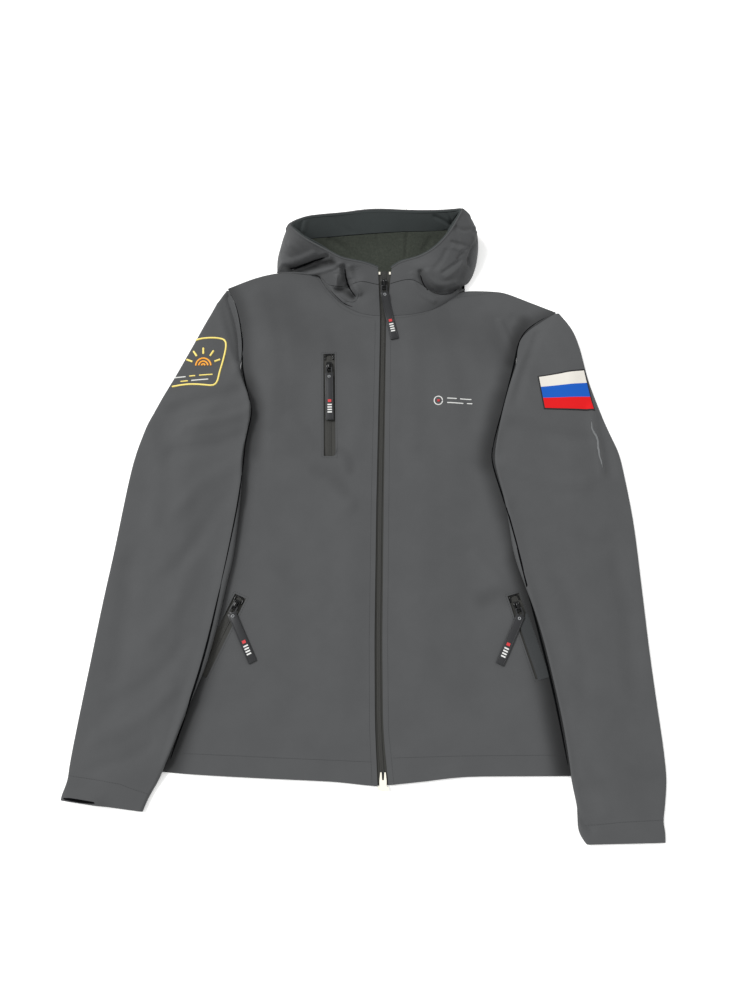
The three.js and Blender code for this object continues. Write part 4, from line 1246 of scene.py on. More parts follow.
@dataclass
class Sleeves:
    """The two sleeves with the cuff stitches, the flag patch and a plain badge.

    Attributes:
        cuff_rows: Pixels of each cuff's stitching, the right one first.
        flag_corners: The flag patch on the plan: upper left, upper right, lower right, lower left.
        flag_mm: Thickness of the patch.
        fold_lines: Painted shadow lines along each armhole and under each sleeve's fold.
        crest: Painted highlight along the sharp fold under the flag.
        painted_cuff_mouth_shadow: Painted shadow in the open end of the right cuff.
        badge_frame: Pixels of the badge's frame.
        badge_top: Height of the sleeve under the badge.
        sun_middle: Pixel in the middle of the sun.
        sun_radii: Radii of the sun's arcs in pixels.
        ray_angles: Directions of the rays in degrees.
        ray_reach: Where a ray starts and ends, in pixels from the middle.
        dashes: Left end, row and length of each dash in pixels, and its thread.
        sleeves: The two tubes with their creases.
        made: The finished sleeves.
    """

    cuff_rows: tuple[Route, ...] = (
        ((64, 775), (100, 780), (121, 784), (133, 789), (151, 795)),
        ((665, 820), (622, 822), (586, 826)),
    )
    flag_corners: Route = ((208.5, 515), (272.6, 526.5), (281.8, 466), (213.7, 467))
    flag_mm: float = 0.9
    fold_lines: dict[Side, tuple[FoldLine, ...]] = field(default_factory=lambda: {
        Side.RIGHT: (
            FoldLine(
                (
                    (227.5, 290), (235, 302), (239, 317), (242, 337), (242.5, 352),
                    (242, 367), (247.5, 393), (252.5, 411), (247, 435), (243.5, 455),
                ),
                1.0, -0.3,
            ),
            FoldLine(((246, 437), (243.5, 462), (238.5, 500), (230.5, 540), (219.5, 590)), 0.9, -0.27),
            FoldLine(((222, 580), (206, 650), (188.5, 706), (169.5, 762)), 1.4, -0.42),
        ),
        Side.LEFT: (
            FoldLine(
                (
                    (557, 312.5), (540, 320), (525, 331), (519, 342), (516.5, 352), (514.5, 363),
                    (509.5, 383), (503.5, 407), (497.5, 427), (493.5, 443), (491.5, 458),
                ),
                1.2, -0.36,
            ),
            FoldLine(
                ((492.5, 446), (491.5, 460), (496.5, 478), (508, 512), (520, 556), (524, 572)),
                1.1, -0.33,
            ),
            FoldLine(((516, 544), (533, 610), (548, 668), (558, 712), (568.5, 768)), 1.5, -0.45),
        ),
    })
    crest: FoldLine = FoldLine(
        (
            (591, 413), (591.5, 422), (592.5, 431), (597.5, 438),
            (598.5, 447), (599, 455), (602, 464), (602, 474),
        ),
        1.6, -1.0, PAINTED_CREST_HIGHLIGHT,
    )
    painted_cuff_mouth_shadow: FoldLine = FoldLine(((62.5, 798.3), (72, 800), (84, 802), (96, 803.3)), 2.0, -0.9, ends=0.2)
    badge_frame: Route = (
        (192, 341), (199, 339), (208, 338), (219, 338), (225, 340), (226.5, 345), (224, 356),
        (219.5, 374), (218, 382), (214, 386.5), (203, 385), (191, 384), (181, 384.5), (171, 386),
    )
    badge_top: float = 9.0
    sun_middle: Point = (203.5, 366)
    sun_radii: tuple[float, ...] = (1.8, 4.6, 7.6)
    ray_angles: tuple[float, ...] = (158, 124, 90, 56, 22)
    ray_reach: Point = (11.5, 18.5)
    dashes: tuple[tuple[float, float, float, Finish], ...] = (
        (174, 377, 12, PALE_THREAD), (189, 376, 7, YELLOW_THREAD), (199, 375.5, 14, YELLOW_THREAD),
        (180, 381, 8, YELLOW_THREAD), (191, 380.5, 18, PALE_THREAD),
    )
    sleeves: dict[Side, ClothPiece] = field(default_factory=lambda: {
        Side.RIGHT: ClothPiece(
            "sleeve_right", (0.34, 0.70), 0.165,
            rests_on=("front_right_cloth", "floor"),
            creases=(
                Crease(RIGHT_EDGE[4:], 11, 2.4, 8),
                upper(
                    ((212, 330), (200, 400), (182, 470), (165, 560), (145, 650), (122, 740), (110, 785)),
                    46, 2.4,
                ),
                upper(
                    ((228, 297), (233, 312), (237.5, 330), (239.5, 348), (240.5, 362)),
                    6.5, -2.6, 1.2,
                ),
                upper(((217, 304), (223, 326), (230, 350), (237, 372)), 8, 1.6),
                upper(((236, 392), (214, 398), (176, 410)), 17, -2.4),
                upper(((248, 411), (222, 420), (186, 428)), 12, 2.6),
                upper(((243, 434), (214, 446), (172, 452)), 14, -2.4),
                upper(((240, 462), (206, 480), (176, 512)), 14, 2.0),
                upper(((150, 426), (160, 470), (154, 520)), 18, 1.6),
                upper(((222, 500), (196, 545), (164, 580)), 16, -1.8),
                upper(((196, 560), (176, 610), (150, 640)), 18, 1.6),
                upper(((130, 560), (126, 620), (116, 680)), 18, -1.6),
                upper(((186, 640), (156, 680), (110, 706)), 14, -1.8),
                upper(((172, 690), (140, 722), (96, 740)), 13, 1.9),
                upper(((150, 744), (128, 760), (94, 768)), 9, -1.4),
                upper(((66, 799), (80, 801), (96, 804)), 15, 3.4),
            ),
        ),
        Side.LEFT: ClothPiece(
            "sleeve_left", (0.36, 0.70), 0.173,
            rests_on=("front_left_cloth", "floor"),
            creases=(
                Crease(LEFT_EDGE[4:], 11, 2.4, 8),
                upper(
                    ((560, 340), (568, 400), (584, 470), (598, 560), (610, 650), (618, 740), (622, 800)),
                    46, 2.4,
                ),
                upper(((538, 334), (532, 350), (524, 372), (516, 400)), 9, -1.5),
                upper(((545, 330), (560, 356), (572, 378)), 16, 1.0),
                upper(((516, 424), (552, 436), (586, 440)), 15, -2.4),
                upper(((591, 408), (593, 431), (599, 449), (601, 474)), 7, 2.6, 1.3),
                upper(((600, 420), (607, 446), (611, 474)), 9, -1.8),
                upper(((504, 462), (548, 480), (584, 484)), 15, 2.2),
                upper(((520, 506), (560, 536), (600, 548)), 17, -2.0),
                upper(((536, 560), (560, 610), (574, 680)), 20, 1.7),
                upper(((612, 540), (628, 610), (634, 690)), 18, -1.6),
                upper(((560, 650), (590, 700), (628, 726)), 16, -1.5),
                upper(((574, 720), (606, 756), (650, 770)), 14, 1.5),
                upper(((577, 812), (583, 821), (591, 828)), 7, -2.0),
                upper(((582, 770), (600, 792), (606, 812)), 11, 1.3),
            ),
        ),
    })
    made: dict[Side, bpy.types.Object] = field(default_factory=dict)

    def build(self, fronts: Sequence[bpy.types.Object]) -> None:
        """Make the sleeves and what is sewn on them.

        Args:
            fronts: The body's two fronts, which the sleeves rest on.
        """
        for side, sleeve in self.sleeves.items():
            self.made[side] = sleeve.build()
        both = Probe(list(self.made.values()))
        jacket = Probe([*self.made.values(), *fronts])
        sewn: dict[Side, list[bpy.types.Object]] = {side: [] for side in Side}
        for side, row in zip(Side, self.cuff_rows):
            sewn[side].append(stitches(f"cuff_stitch_{side.value}", [seen(row)], both))
        # Painted shadow lines along the armholes and the sleeves' folds, a painted highlight on the fold
        # under the flag and painted shadow in the right cuff's mouth.
        for side, fold_lines in self.fold_lines.items():
            for index, fold_line in enumerate(fold_lines):
                sewn[side].append(fold_line.build(f"armhole_tuck_{side.value}_{index + 1}", jacket))
        sewn[Side.LEFT].append(self.crest.build("sleeve_fold_painted_highlight", both))
        sewn[Side.RIGHT].append(self.painted_cuff_mouth_shadow.build("painted_cuff_mouth_shadow", both))
        sewn[Side.LEFT].append(self.flag(both))
        sewn[Side.RIGHT] += self.badge(both)
        for side, sleeve in self.sleeves.items():
            sleeve.declare(self.made[side], sewn[side])

    def flag(self, probe: Probe) -> bpy.types.Object:
        """Make the flag patch on the wearer's left sleeve, thinner at its hem.

        Args:
            probe: The sleeves.

        Returns:
            The patch.
        """
        columns, rows = 30, 20
        hem_share, hem_drop = 0.03, 0.3
        bm = bmesh.new()
        bm.loops.layers.uv.new("Patch")
        bmesh.ops.create_grid(bm, x_segments=columns, y_segments=rows, size=0.5, calc_uvs=True)
        top_left, top_right, bottom_right, bottom_left = planned(self.flag_corners)
        for vertex in bm.verts:
            across, upward = vertex.co.x + 0.5, vertex.co.y + 0.5
            place = bottom_left.lerp(bottom_right, across).lerp(top_left.lerp(top_right, across), upward)
            hit = probe.top(place)
            edge = min(across, 1 - across, upward, 1 - upward)
            thickness = self.flag_mm - hem_drop * (1 - soft_step(edge / hem_share))
            level = hit[0].z if hit else SLEEVE_TOP * MM
            vertex.co = Vector((place.x, place.y, level + thickness * MM))
        bmesh.ops.solidify(bm, geom=bm.faces, thickness=0.7 * MM)
        return riding(piece_from(bm, "flag", FLAG), stands_for=["flag_patch"])

    def badge(self, probe: Probe) -> list[bpy.types.Object]:
        """Embroider a plain rounded frame with a sunrise over two lines of dashes.

        Args:
            probe: The sleeves.

        Returns:
            The lines of thread, each a piece.
        """
        # Each line's name, places, distance between its points, radius and thread.
        lines: list[tuple[str, list[Vector], float, float, Finish]] = [
            ("badge_frame", rounded(seen(self.badge_frame, self.badge_top)), 1.5, 1.25, YELLOW_THREAD)
        ]
        for index, angle in enumerate(self.ray_angles):
            ends = [around(self.sun_middle, reach, angle) for reach in self.ray_reach]
            ray = seen(ends, self.badge_top)
            lines.append((f"badge_ray_{index + 1}", ray, 1.0, 1.35, YELLOW_THREAD))
        for index, reach in enumerate(self.sun_radii):
            arc = seen([around(self.sun_middle, reach, a) for a in range(0, 181, 15)], self.badge_top)
            lines.append((f"badge_sun_{index + 1}", arc, 0.8, 1.2, ORANGE_THREAD))
        slope = -0.05
        for index, (left, row, length, thread) in enumerate(self.dashes):
            dash = seen(((left, row), (left + length, row + length * slope)), self.badge_top)
            lines.append((f"badge_dash_{index + 1}", dash, 1.0, 0.9, thread))
        pieces = [
            rib(name, probe.laid(route, pitch * MM), radius, thread)
            for name, route, pitch, radius, thread in lines
        ]
        return [riding(made) for made in pieces]


# Where the hood has slumped, its wall folds in over itself. The ways point out of the wall. A fold's
# numbers are its half width, its height, the height of the wall there, its way and its sharpness.
SLUMP_WAY = (-0.25, -0.55, 0.8)
FRONT_WAY = (0.0, -0.55, 0.83)
OUTER_WAY = (0.75, -0.2, 0.6)
# Folds given a shade also paint shade into the cloth's colour there.
RIGHT_FOLDS = (
    Crease(((292, 268.5), (304, 265.5), (315, 260), (327, 256)), 5.5, -5.0, 20, SLUMP_WAY, 1.2),
    Crease(((285, 263), (301, 259.5), (314, 253)), 7, 2.2, 20, SLUMP_WAY),
    Crease(((300, 272), (312, 269.5), (326, 265)), 7, -2.6, 20, SLUMP_WAY),
    Crease(((291, 269.5), (304, 267.5), (318, 263.5), (331, 261)), 9, 0.0, 20, sharp=0.7, shade=0.8),
    Crease(((338, 290), (345, 291), (352, 296)), 6.5, 0.0, 12, sharp=0.8, shade=0.6),
    Crease(((340, 284), (345, 275)), 6, 0.0, 12, shade=0.35),
    Crease(((318, 262), (328, 263), (336, 267)), 7, -3.4, 20, SLUMP_WAY),
    Crease(((312, 274), (326, 270.5), (336, 266), (341, 264)), 5, 2.2, 20, FRONT_WAY),
    Crease(((342.5, 267), (344.5, 276), (347, 285), (355, 297)), 6, -5.5, 15, FRONT_WAY, 1.2),
    Crease(((337, 290), (342, 288.5), (348, 287)), 7.5, -3.2, 12, FRONT_WAY),
    Crease(((349.5, 267), (353, 280), (359.5, 293)), 6, 2.4, 15, FRONT_WAY),
    Crease(((327, 284), (334, 294), (344, 301)), 5, 1.6, 10, FRONT_WAY),
    Crease(((282, 252), (289, 256), (297, 264)), 6, -1.6, 30, SLUMP_WAY),
    Crease(((290, 244), (299, 250), (306, 258)), 7, 1.2, 30, SLUMP_WAY),
)
LEFT_FOLDS = (
    Crease(
        ((420.5, 272), (422, 281), (429, 290), (439, 294), (449, 292), (462, 288)),
        5.5, -4.2, 15, FRONT_WAY, 1.2,
    ),
    Crease(((428, 272), (433, 282), (442, 286.5), (455, 283)), 7.5, 2.4, 18, FRONT_WAY),
    Crease(((412, 274), (414, 284), (421, 294), (434, 301)), 6, 1.3, 10, FRONT_WAY),
    Crease(((481, 236), (475, 243), (470, 253), (468, 264)), 5.5, -1.8, 25, OUTER_WAY, 1.2),
    Crease(((473, 226), (478, 231), (482.5, 234)), 6, 1.8, 35, OUTER_WAY),
    Crease(((473, 236), (477, 231.5), (482, 230)), 3.5, 1.2, 35, OUTER_WAY),
    Crease(((452, 242), (460, 244), (469, 246.5)), 4, -1.7, 35, FRONT_WAY),
    Crease(((453, 247.5), (461, 249.5), (468, 251)), 4, 1.1, 35, FRONT_WAY),
    Crease(((458, 258), (463.5, 250.5), (468, 249)), 3.5, -1.8, 30, OUTER_WAY),
    Crease(((443, 272.5), (451, 267), (459, 261)), 4.5, -1.7, 25, FRONT_WAY),
    Crease(((447, 277), (456, 271), (463, 263)), 5, 1.2, 25, FRONT_WAY),
    Crease(((455, 226), (463, 231), (470, 229)), 4.5, -1.4, 35, FRONT_WAY),
    Crease(((469, 259), (470, 266)), 4, -1.8, 25, OUTER_WAY),
    Crease(((421, 276), (428, 286), (440, 289)), 9, 0.0, 12, shade=0.3),
    Crease(((450, 291), (463, 286)), 6, 0.0, 12, shade=0.4),
    Crease(((474, 240), (468, 262), (463, 276)), 9, 0.0, 30, shade=0.2),
    Crease(((436, 267), (442, 260), (446, 251)), 6, -1.2, 30, FRONT_WAY),
    Crease(((452, 223), (457, 234), (458, 246)), 7, -1.4, 40, FRONT_WAY),
)
# Out of the rear wall's inner face, and up from the lining.
REAR_WAY = (0.0, -0.85, 0.5)
LINING_WAY = (0.0, -0.4, 0.9)
FACING_FOLDS = (
    Crease(((302, 221), (299.5, 228), (299, 236)), 4, -1.6, 40, REAR_WAY, 1.2),
    Crease(((306, 221), (304, 230)), 5, 0.8, 40, REAR_WAY),
    Crease(((435, 216.5), (444, 221), (453, 227)), 4.5, -1.6, 40, REAR_WAY, 1.2),
    Crease(((449, 213), (451, 219), (452, 228)), 4, -1.4, 40, REAR_WAY, 1.2),
    Crease(((338, 218), (342, 226), (350, 233)), 8, -1.0, 40, REAR_WAY),
)
LINING_FOLDS = (
    Crease(((408, 231), (407, 243), (406, 256)), 3.5, -1.1, 12, LINING_WAY, 1.4),
    Crease(((403, 232), (402, 256)), 4, 0.5, 12, LINING_WAY),
    Crease(((377, 235), (378.5, 245), (381, 255)), 3.5, -0.9, 12, LINING_WAY, 1.4),
    Crease(((330, 240), (345, 247), (352, 256)), 8, -1.4, 12, LINING_WAY),
    Crease(((430, 240), (424, 250)), 8, -1.2, 12, LINING_WAY),
)


@dataclass
class Hood:
    """Collar, hood panels, facing, lining and the hidden layers under them.

    Attributes:
        pieces: The pieces of cloth.
        rim: The opening's edge, from the wearer's left of the zip round: two places on the plan and
            the height of the crest.
        rim_radius: Radius of the rim's rounded edge.
        rim_drop: How far the middle of the rounded edge is under the crest.
        band_radius: Radius of the facing's turned edge inside the rim.
        band_inward: How far inside the rim it runs.
        band_drop: How far it is under the crest.
        fold_lines: Painted shadow lines in the folds of the hood and the collar, and one rolled fold
            edge of shell cloth.
        foot: Pixels of the hood's right foot, where it meets the shoulder.
        foot_rib: Height of the rib along it, and the rib's radius.
        left_foot: Pixels of its left foot.
        left_foot_rib: The same for the left foot.
        inside: The ground inside the hood, on the plan.
        ground_mm: Height of the lining's upper face there.
        centre_seams: Foot and rim of each seam of the middle panel, on the plan.
        seam_height: Height of the rim at those seams.
        seam_bow: How far the middle panel bulges outwards.
        seam_radius: Radius of a seam.
        made: The finished pieces.
    """

    pieces: tuple[ClothPiece, ...] = (
        ClothPiece(
            "collar_left", (0.11, 0.045), 0.0032, levels=3, creases=LEFT_FOLDS,
            rests_on=("front_left_cloth",),
        ),
        ClothPiece(
            "collar_right", (0.10, 0.045), 0.0027, levels=3, creases=RIGHT_FOLDS,
            rests_on=("front_right_cloth",),
        ),
        ClothPiece("collar_back", (0.165, 0.02), 0.0031, levels=1, rests_on=("floor",)),
        ClothPiece(
            "hood_left", (0.18, 0.16), 0.0152, levels=3, creases=LEFT_FOLDS,
            rests_on=("front_left_cloth", "floor"),
        ),
        ClothPiece("hood_centre", (0.075, 0.055), 0.0038, levels=3, rests_on=("floor",)),
        ClothPiece(
            "hood_right", (0.18, 0.15), 0.0133, levels=3, creases=RIGHT_FOLDS,
            rests_on=("front_right_cloth", "floor"),
        ),
        ClothPiece("hood_under", (0.27, 0.11), 0.0243, levels=1, held="folded", rests_on=("floor",)),
        ClothPiece(
            "hood_facing", (0.46, 0.034), 0.0136, FACING, 3, RIGHT_FOLDS + LEFT_FOLDS + FACING_FOLDS,
            rests_on=("hood_left_cloth", "hood_right_cloth"),
        ),
        ClothPiece(
            "hood_lining", (0.20, 0.11), 0.0130, FLEECE, 3, LINING_FOLDS,
            rests_on=("hood_under_cloth",), slot="lining",
        ),
    )
    rim: tuple[Triple, ...] = (
        (13.4, 668, 27), (25, 674.2, 32), (40.2, 676.2, 36), (51.7, 677.6, 40), (65.5, 683, 44),
        (77, 691, 48), (83, 697, 50), (88.6, 702.7, 52), (95, 712, 53), (101, 722.7, 54),
        (106.5, 733, 55), (110, 741, 56), (98, 741.5, 53), (74, 742.5, 49), (34, 745, 46),
        (-12, 747.5, 46), (-53, 741.3, 46), (-82, 737.2, 48),
        (-105, 732.5, 50), (-126.6, 720, 52), (-119, 711, 51), (-110.8, 703.7, 50),
        (-99, 697, 47), (-84, 690, 44), (-72, 684, 42), (-62, 679, 40), (-54, 676.2, 38), (-42, 675, 35),
        (-27, 673.9, 32), (-16, 671.5, 29.5), (-5.2, 668, 27),
    )
    rim_radius: float = 1.15
    rim_drop: float = 0.6
    band_radius: float = 1.8
    band_inward: float = 1.9
    band_drop: float = 2.3
    fold_lines: tuple[FoldLine, ...] = (
        FoldLine(((290, 268.5), (297, 268), (303, 265), (315, 260.5), (325, 257.5)), 1.9, -0.4, ends=0.15),
        FoldLine(((345, 268.5), (346, 277), (348.5, 287), (356, 297)), 1.4, -0.3, ends=0.15),
        FoldLine(
            ((336.5, 292), (341, 297), (347, 301), (354, 302), (358, 298), (358.5, 290)),
            0.9, 0.0, SHELL, 0.15,
        ),
        FoldLine(((420.5, 275), (422.5, 283), (428, 290.5)), 0.9, -0.2, ends=0.15),
        FoldLine(((330, 290), (343, 303.5), (353, 307)), 0.6, -0.2, ends=0.15),
    )
    foot: Route = ((277, 272.5), (290, 273), (304, 273.5), (313, 275), (321, 278))
    foot_rib: Point = (1.9, 1.8)
    left_foot: Route = ((446, 295), (454, 293), (460, 291.2), (465, 289.4))
    left_foot_rib: Point = (3.0, 2.0)
    inside: Route = (
        (116, 662), (128, 681), (133.5, 704), (132.5, 730), (115, 752), (83, 761.5), (34, 764.5),
        (-12, 764.5), (-57, 759.5), (-90, 751.5), (-119, 740), (-138, 722), (-144, 700), (-143, 682),
        (-117, 678), (-87, 664), (-60, 625), (0, 610), (60, 610), (108, 622), (116, 645),
    )
    ground_mm: float = 0.9
    centre_seams: tuple[tuple[Point, Point], ...] = (
        ((34.0, 769.0), (34.0, 745.0)),
        ((-35.0, 766.6), (-32.5, 744.6)),
    )
    seam_height: float = 46.0
    seam_bow: float = 4.0
    seam_radius: float = 0.7
    made: dict[str, bpy.types.Object] = field(default_factory=dict)

    def build(self) -> None:
        for piece in self.pieces:
            self.made[piece.node] = piece.build()
        seams = [self.seam(index, foot, rim) for index, (foot, rim) in enumerate(self.centre_seams)]
        walls = ("hood_left", "hood_right", "collar_left", "collar_right")
        outside = Probe([self.made[node] for node in walls])
        # Painted shadow lines in the hood's folds, and one rolled fold edge in the shell's own colour.
        for index, fold_line in enumerate(self.fold_lines):
            fold_line.build(f"hood_painted_shadow_and_fold_edge_{index + 1}", outside)
        self.trim()
        riding(self.ground())
        for piece in self.pieces:
            sewn = seams if piece.node == "hood_centre" else []
            piece.declare(self.made[piece.node], sewn)

    def trim(self) -> None:
        """Round off the rim, the foot on both sides and the facing's edge with ribs of their cloth."""
        places = [plan(x, y) for x, y, _ in self.rim]
        middle = sum(places, Vector()) / len(places)
        edge, band = [], []
        for place, (_, _, crest) in zip(places, self.rim):
            inward = (middle - place).normalized() * self.band_inward * MM
            edge.append(raised(place, crest - self.rim_drop))
            band.append(raised(place + inward, crest - self.band_drop))
        riding(rib("hood_rim_piping", rounded(edge), self.rim_radius, SHELL))
        feet = [
            ("hood_foot_piping", self.foot, self.foot_rib, 0.4),
            ("hood_foot_filler", self.left_foot, self.left_foot_rib, 0.3),
        ]
        for name, pixels, (height, radius), ends in feet:
            riding(rib(name, rounded(seen(pixels, height)), radius, SHELL, ends=ends))
        riding(rib("hood_facing_edge", rounded(band), self.band_radius, FACING))

    def ground(self) -> bpy.types.Object:
        """Lay the hidden part of the lining flat on the ground inside the hood's foot.

        Returns:
            The piece of lining.
        """
        bm = bmesh.new()
        corners = [bm.verts.new(raised(place, self.ground_mm)) for place in planned(self.inside)]
        face = bm.faces.new(corners)
        bmesh.ops.solidify(bm, geom=[face], thickness=0.6 * MM)
        bmesh.ops.recalc_face_normals(bm, faces=bm.faces)
        return piece_from(bm, "hood_lining_ground", FLEECE)

    def seam(self, index: int, foot: Point, rim: Point) -> bpy.types.Object:
        """Close a seam of the middle panel from the floor to the rim, bowed as the panel is.

        Args:
            index: Which seam it is, from 0.
            foot: Its lower end on the plan.
            rim: Its upper end on the plan.

        Returns:
            The seam.
        """
        points = []
        steps = 12
        for step in range(steps + 1):
            share = step / steps
            x = foot[0] + (rim[0] - foot[0]) * share
            y = foot[1] + (rim[1] - foot[1]) * share
            bow = self.seam_bow * 4 * share * (1 - share)
            level = self.seam_height * share + bow / 2 - 0.1
            points.append(raised(plan(x, y + bow - self.seam_radius), level))
        name = f"hood_centre_seam_{index + 1}"
        return riding(rib(name, points, self.seam_radius, DARK_THREAD))


@dataclass
class ZipPull:
    """A slider and its moulded strip, which rides on a hinge.

    Attributes:
        node: First part of the names of the two CAD nodes.
        lean: Turn of the slider in degrees from straight down the jacket.
        start: Where the strip starts, on the plan.
        heading: Turn of the strip in degrees from straight down the jacket.
        strip_mm: Length of the strip.
        border: Half of the width between the middles of the raised border.
        eyelet_run: Distance of the eyelet from the strip's start.
        eyelet_radius: Its radius.
        square_runs: Distances of the red square from the strip's start.
        bar_runs: The same of the pale bars.
        square: Half sizes of the square.
        bar: Half sizes of a bar.
        dome: Half sizes of the slider's bridge.
        shoulder: Half sizes of its two shoulders.
        shoulder_drop: How far they are under the bridge's top.
        shoulder_out: How far they are from the middle.
    """

    node: str
    lean: float
    start: Vector
    heading: float
    strip_mm: float = 66.0
    border: float = 4.2
    eyelet_run: float = 4.2
    eyelet_radius: float = 1.5
    square_runs: tuple[float, ...] = (39.0,)
    bar_runs: tuple[float, ...] = (44.5, 48.0, 51.5, 55.0)
    square: Triple = (1.9, 2.2, 0.15)
    bar: Triple = (0.9, 2.9, 0.15)
    dome: Triple = (4.4, 1.9, 0.9)
    shoulder: Triple = (5.6, 1.3, 0.9)
    shoulder_drop: float = 3.2
    shoulder_out: float = 2.7

    def build(self) -> None:
        """Round both nodes off and dress the slider and the strip."""
        slider = softened(f"{self.node}_slider", f"{self.node}_slider_enamelled", ENAMEL)
        riding(slider, stands_for=[f"{self.node}_slider"])
        riding(self.crown(slider))
        body = f"{self.node}_pull"
        strip = softened(body, f"{body}_moulded", RUBBER)
        riding(strip, body, [body])
        for made in self.trim(Probe([strip])):
            riding(made, body)

    def crown(self, slider: bpy.types.Object) -> bpy.types.Object:
        """Make the domed bridge and the two rounded shoulders of the slider.

        Args:
            slider: The slider.

        Returns:
            The crown.
        """
        corners = [Vector(vertex.co) for vertex in slider.data.vertices]
        low = Vector([min(corner[axis] for corner in corners) for axis in range(3)])
        high = Vector([max(corner[axis] for corner in corners) for axis in range(3)])
        place, normal = Probe([slider]).top((low + high) / 2) or (high, UP)
        way = way_at(self.lean)
        side = normal.cross(way).normalized()
        domes = [(place, self.dome)]
        for hand in (-1, 1):
            out = side * hand * self.shoulder_out - normal * self.shoulder_drop
            domes.append((place + out * MM, self.shoulder))
        bm = bmesh.new()
        for point, size in domes:
            bmesh.ops.create_uvsphere(
                bm, u_segments=20, v_segments=12, radius=1.0, matrix=lying(point, way, normal, size),
            )
        return piece_from(bm, f"{self.node}_crown", ENAMEL, 80)

    def at(self, run: float, across: float = 0.0) -> Vector:
        """Find a place on the strip, on the plan.

        Args:
            run: Distance from its start in millimetres.
            across: Distance from its middle line in millimetres.

        Returns:
            The place.
        """
        way = way_at(self.heading)
        side = Vector((-way.y, way.x, 0.0))
        return self.start + (way * run + side * across) * MM

    def trim(self, strip: Probe) -> list[bpy.types.Object]:
        """Make the strip's raised border, its eyelet and a plain row of printed bars.

        Args:
            strip: The strip.

        Returns:
            The four pieces.
        """
        near, far = 1.5, self.strip_mm - 1.0
        corners = [(near, -1), (far, -1), (far, 1), (near, 1), (near, -1)]
        border = strip.laid([self.at(run, hand * self.border) for run, hand in corners], 2 * MM)
        turns = [math.radians(22.5 * step) for step in range(16)]
        ring = [
            strip.top(
                self.at(
                    self.eyelet_run + self.eyelet_radius * math.cos(turn),
                    self.eyelet_radius * math.sin(turn),
                )
            )
            for turn in turns
        ]
        eyelet = [hit[0] + hit[1] * 0.2 * MM for hit in ring if hit]
        pieces = [
            rib(f"{self.node}_strip_border", border, 0.4, RUBBER),
            rib(f"{self.node}_strip_eyelet", eyelet, 0.5, STEEL, closed=True),
        ]
        marks = [
            ("square", self.square_runs, self.square, RED_THREAD),
            ("bars", self.bar_runs, self.bar, PALE_THREAD),
        ]
        for name, runs, size, finish in marks:
            bm = bmesh.new()
            for run in runs:
                hit = strip.top(self.at(run))
                if hit:
                    place = lying(hit[0], way_at(self.heading), hit[1], size)
                    bmesh.ops.create_cube(bm, size=2.0, matrix=place)
            pieces.append(piece_from(bm, f"{self.node}_strip_{name}", finish))
        return pieces


def dress(node: str, finish: Finish) -> None:
    """Give a CAD node that stays in the scene a finish.

    Args:
        node: The node's name.
        finish: The finish.
    """
    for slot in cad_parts[node].material_slots:
        slot.material = finish.material()
    log.info("%s dressed", node)


@dataclass
class MainZip:
    """The closed front zip up to the collar.

    Attributes:
        middle: Its middle line on the plan.
        coil_half: Half of the width of its teeth.
        pull_start: Where the pull's strip starts, on the plan.
        pull_heading: Turn of the strip in degrees from straight down the jacket.
    """

    middle: Route = (
        (-1, 15), (-2.4, 33), (-4.6, 62), (-5.2, 167), (-2.9, 339), (1.6, 574), (2, 606.2),
        (3, 641), (4, 663),
    )
    coil_half: float = 2.2
    pull_start: Point = (3.3, 636.4)
    pull_heading: float = 12.5

    def build(self) -> None:
        """Dress the tapes and lay the coil."""
        for node in ("main_zip_tape_right", "main_zip_tape_left", "main_zip_teeth"):
            dress(node, TAPE)
        for node in ("main_zip_stop_right", "main_zip_stop_left", "main_zip_box"):
            dress(node, IVORY)
        teeth = Probe([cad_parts["main_zip_teeth"]])
        coil("main_zip_coil", planned(self.middle), teeth, self.coil_half)
        ZipPull("main_zip", 0.0, plan(*self.pull_start), self.pull_heading).build()


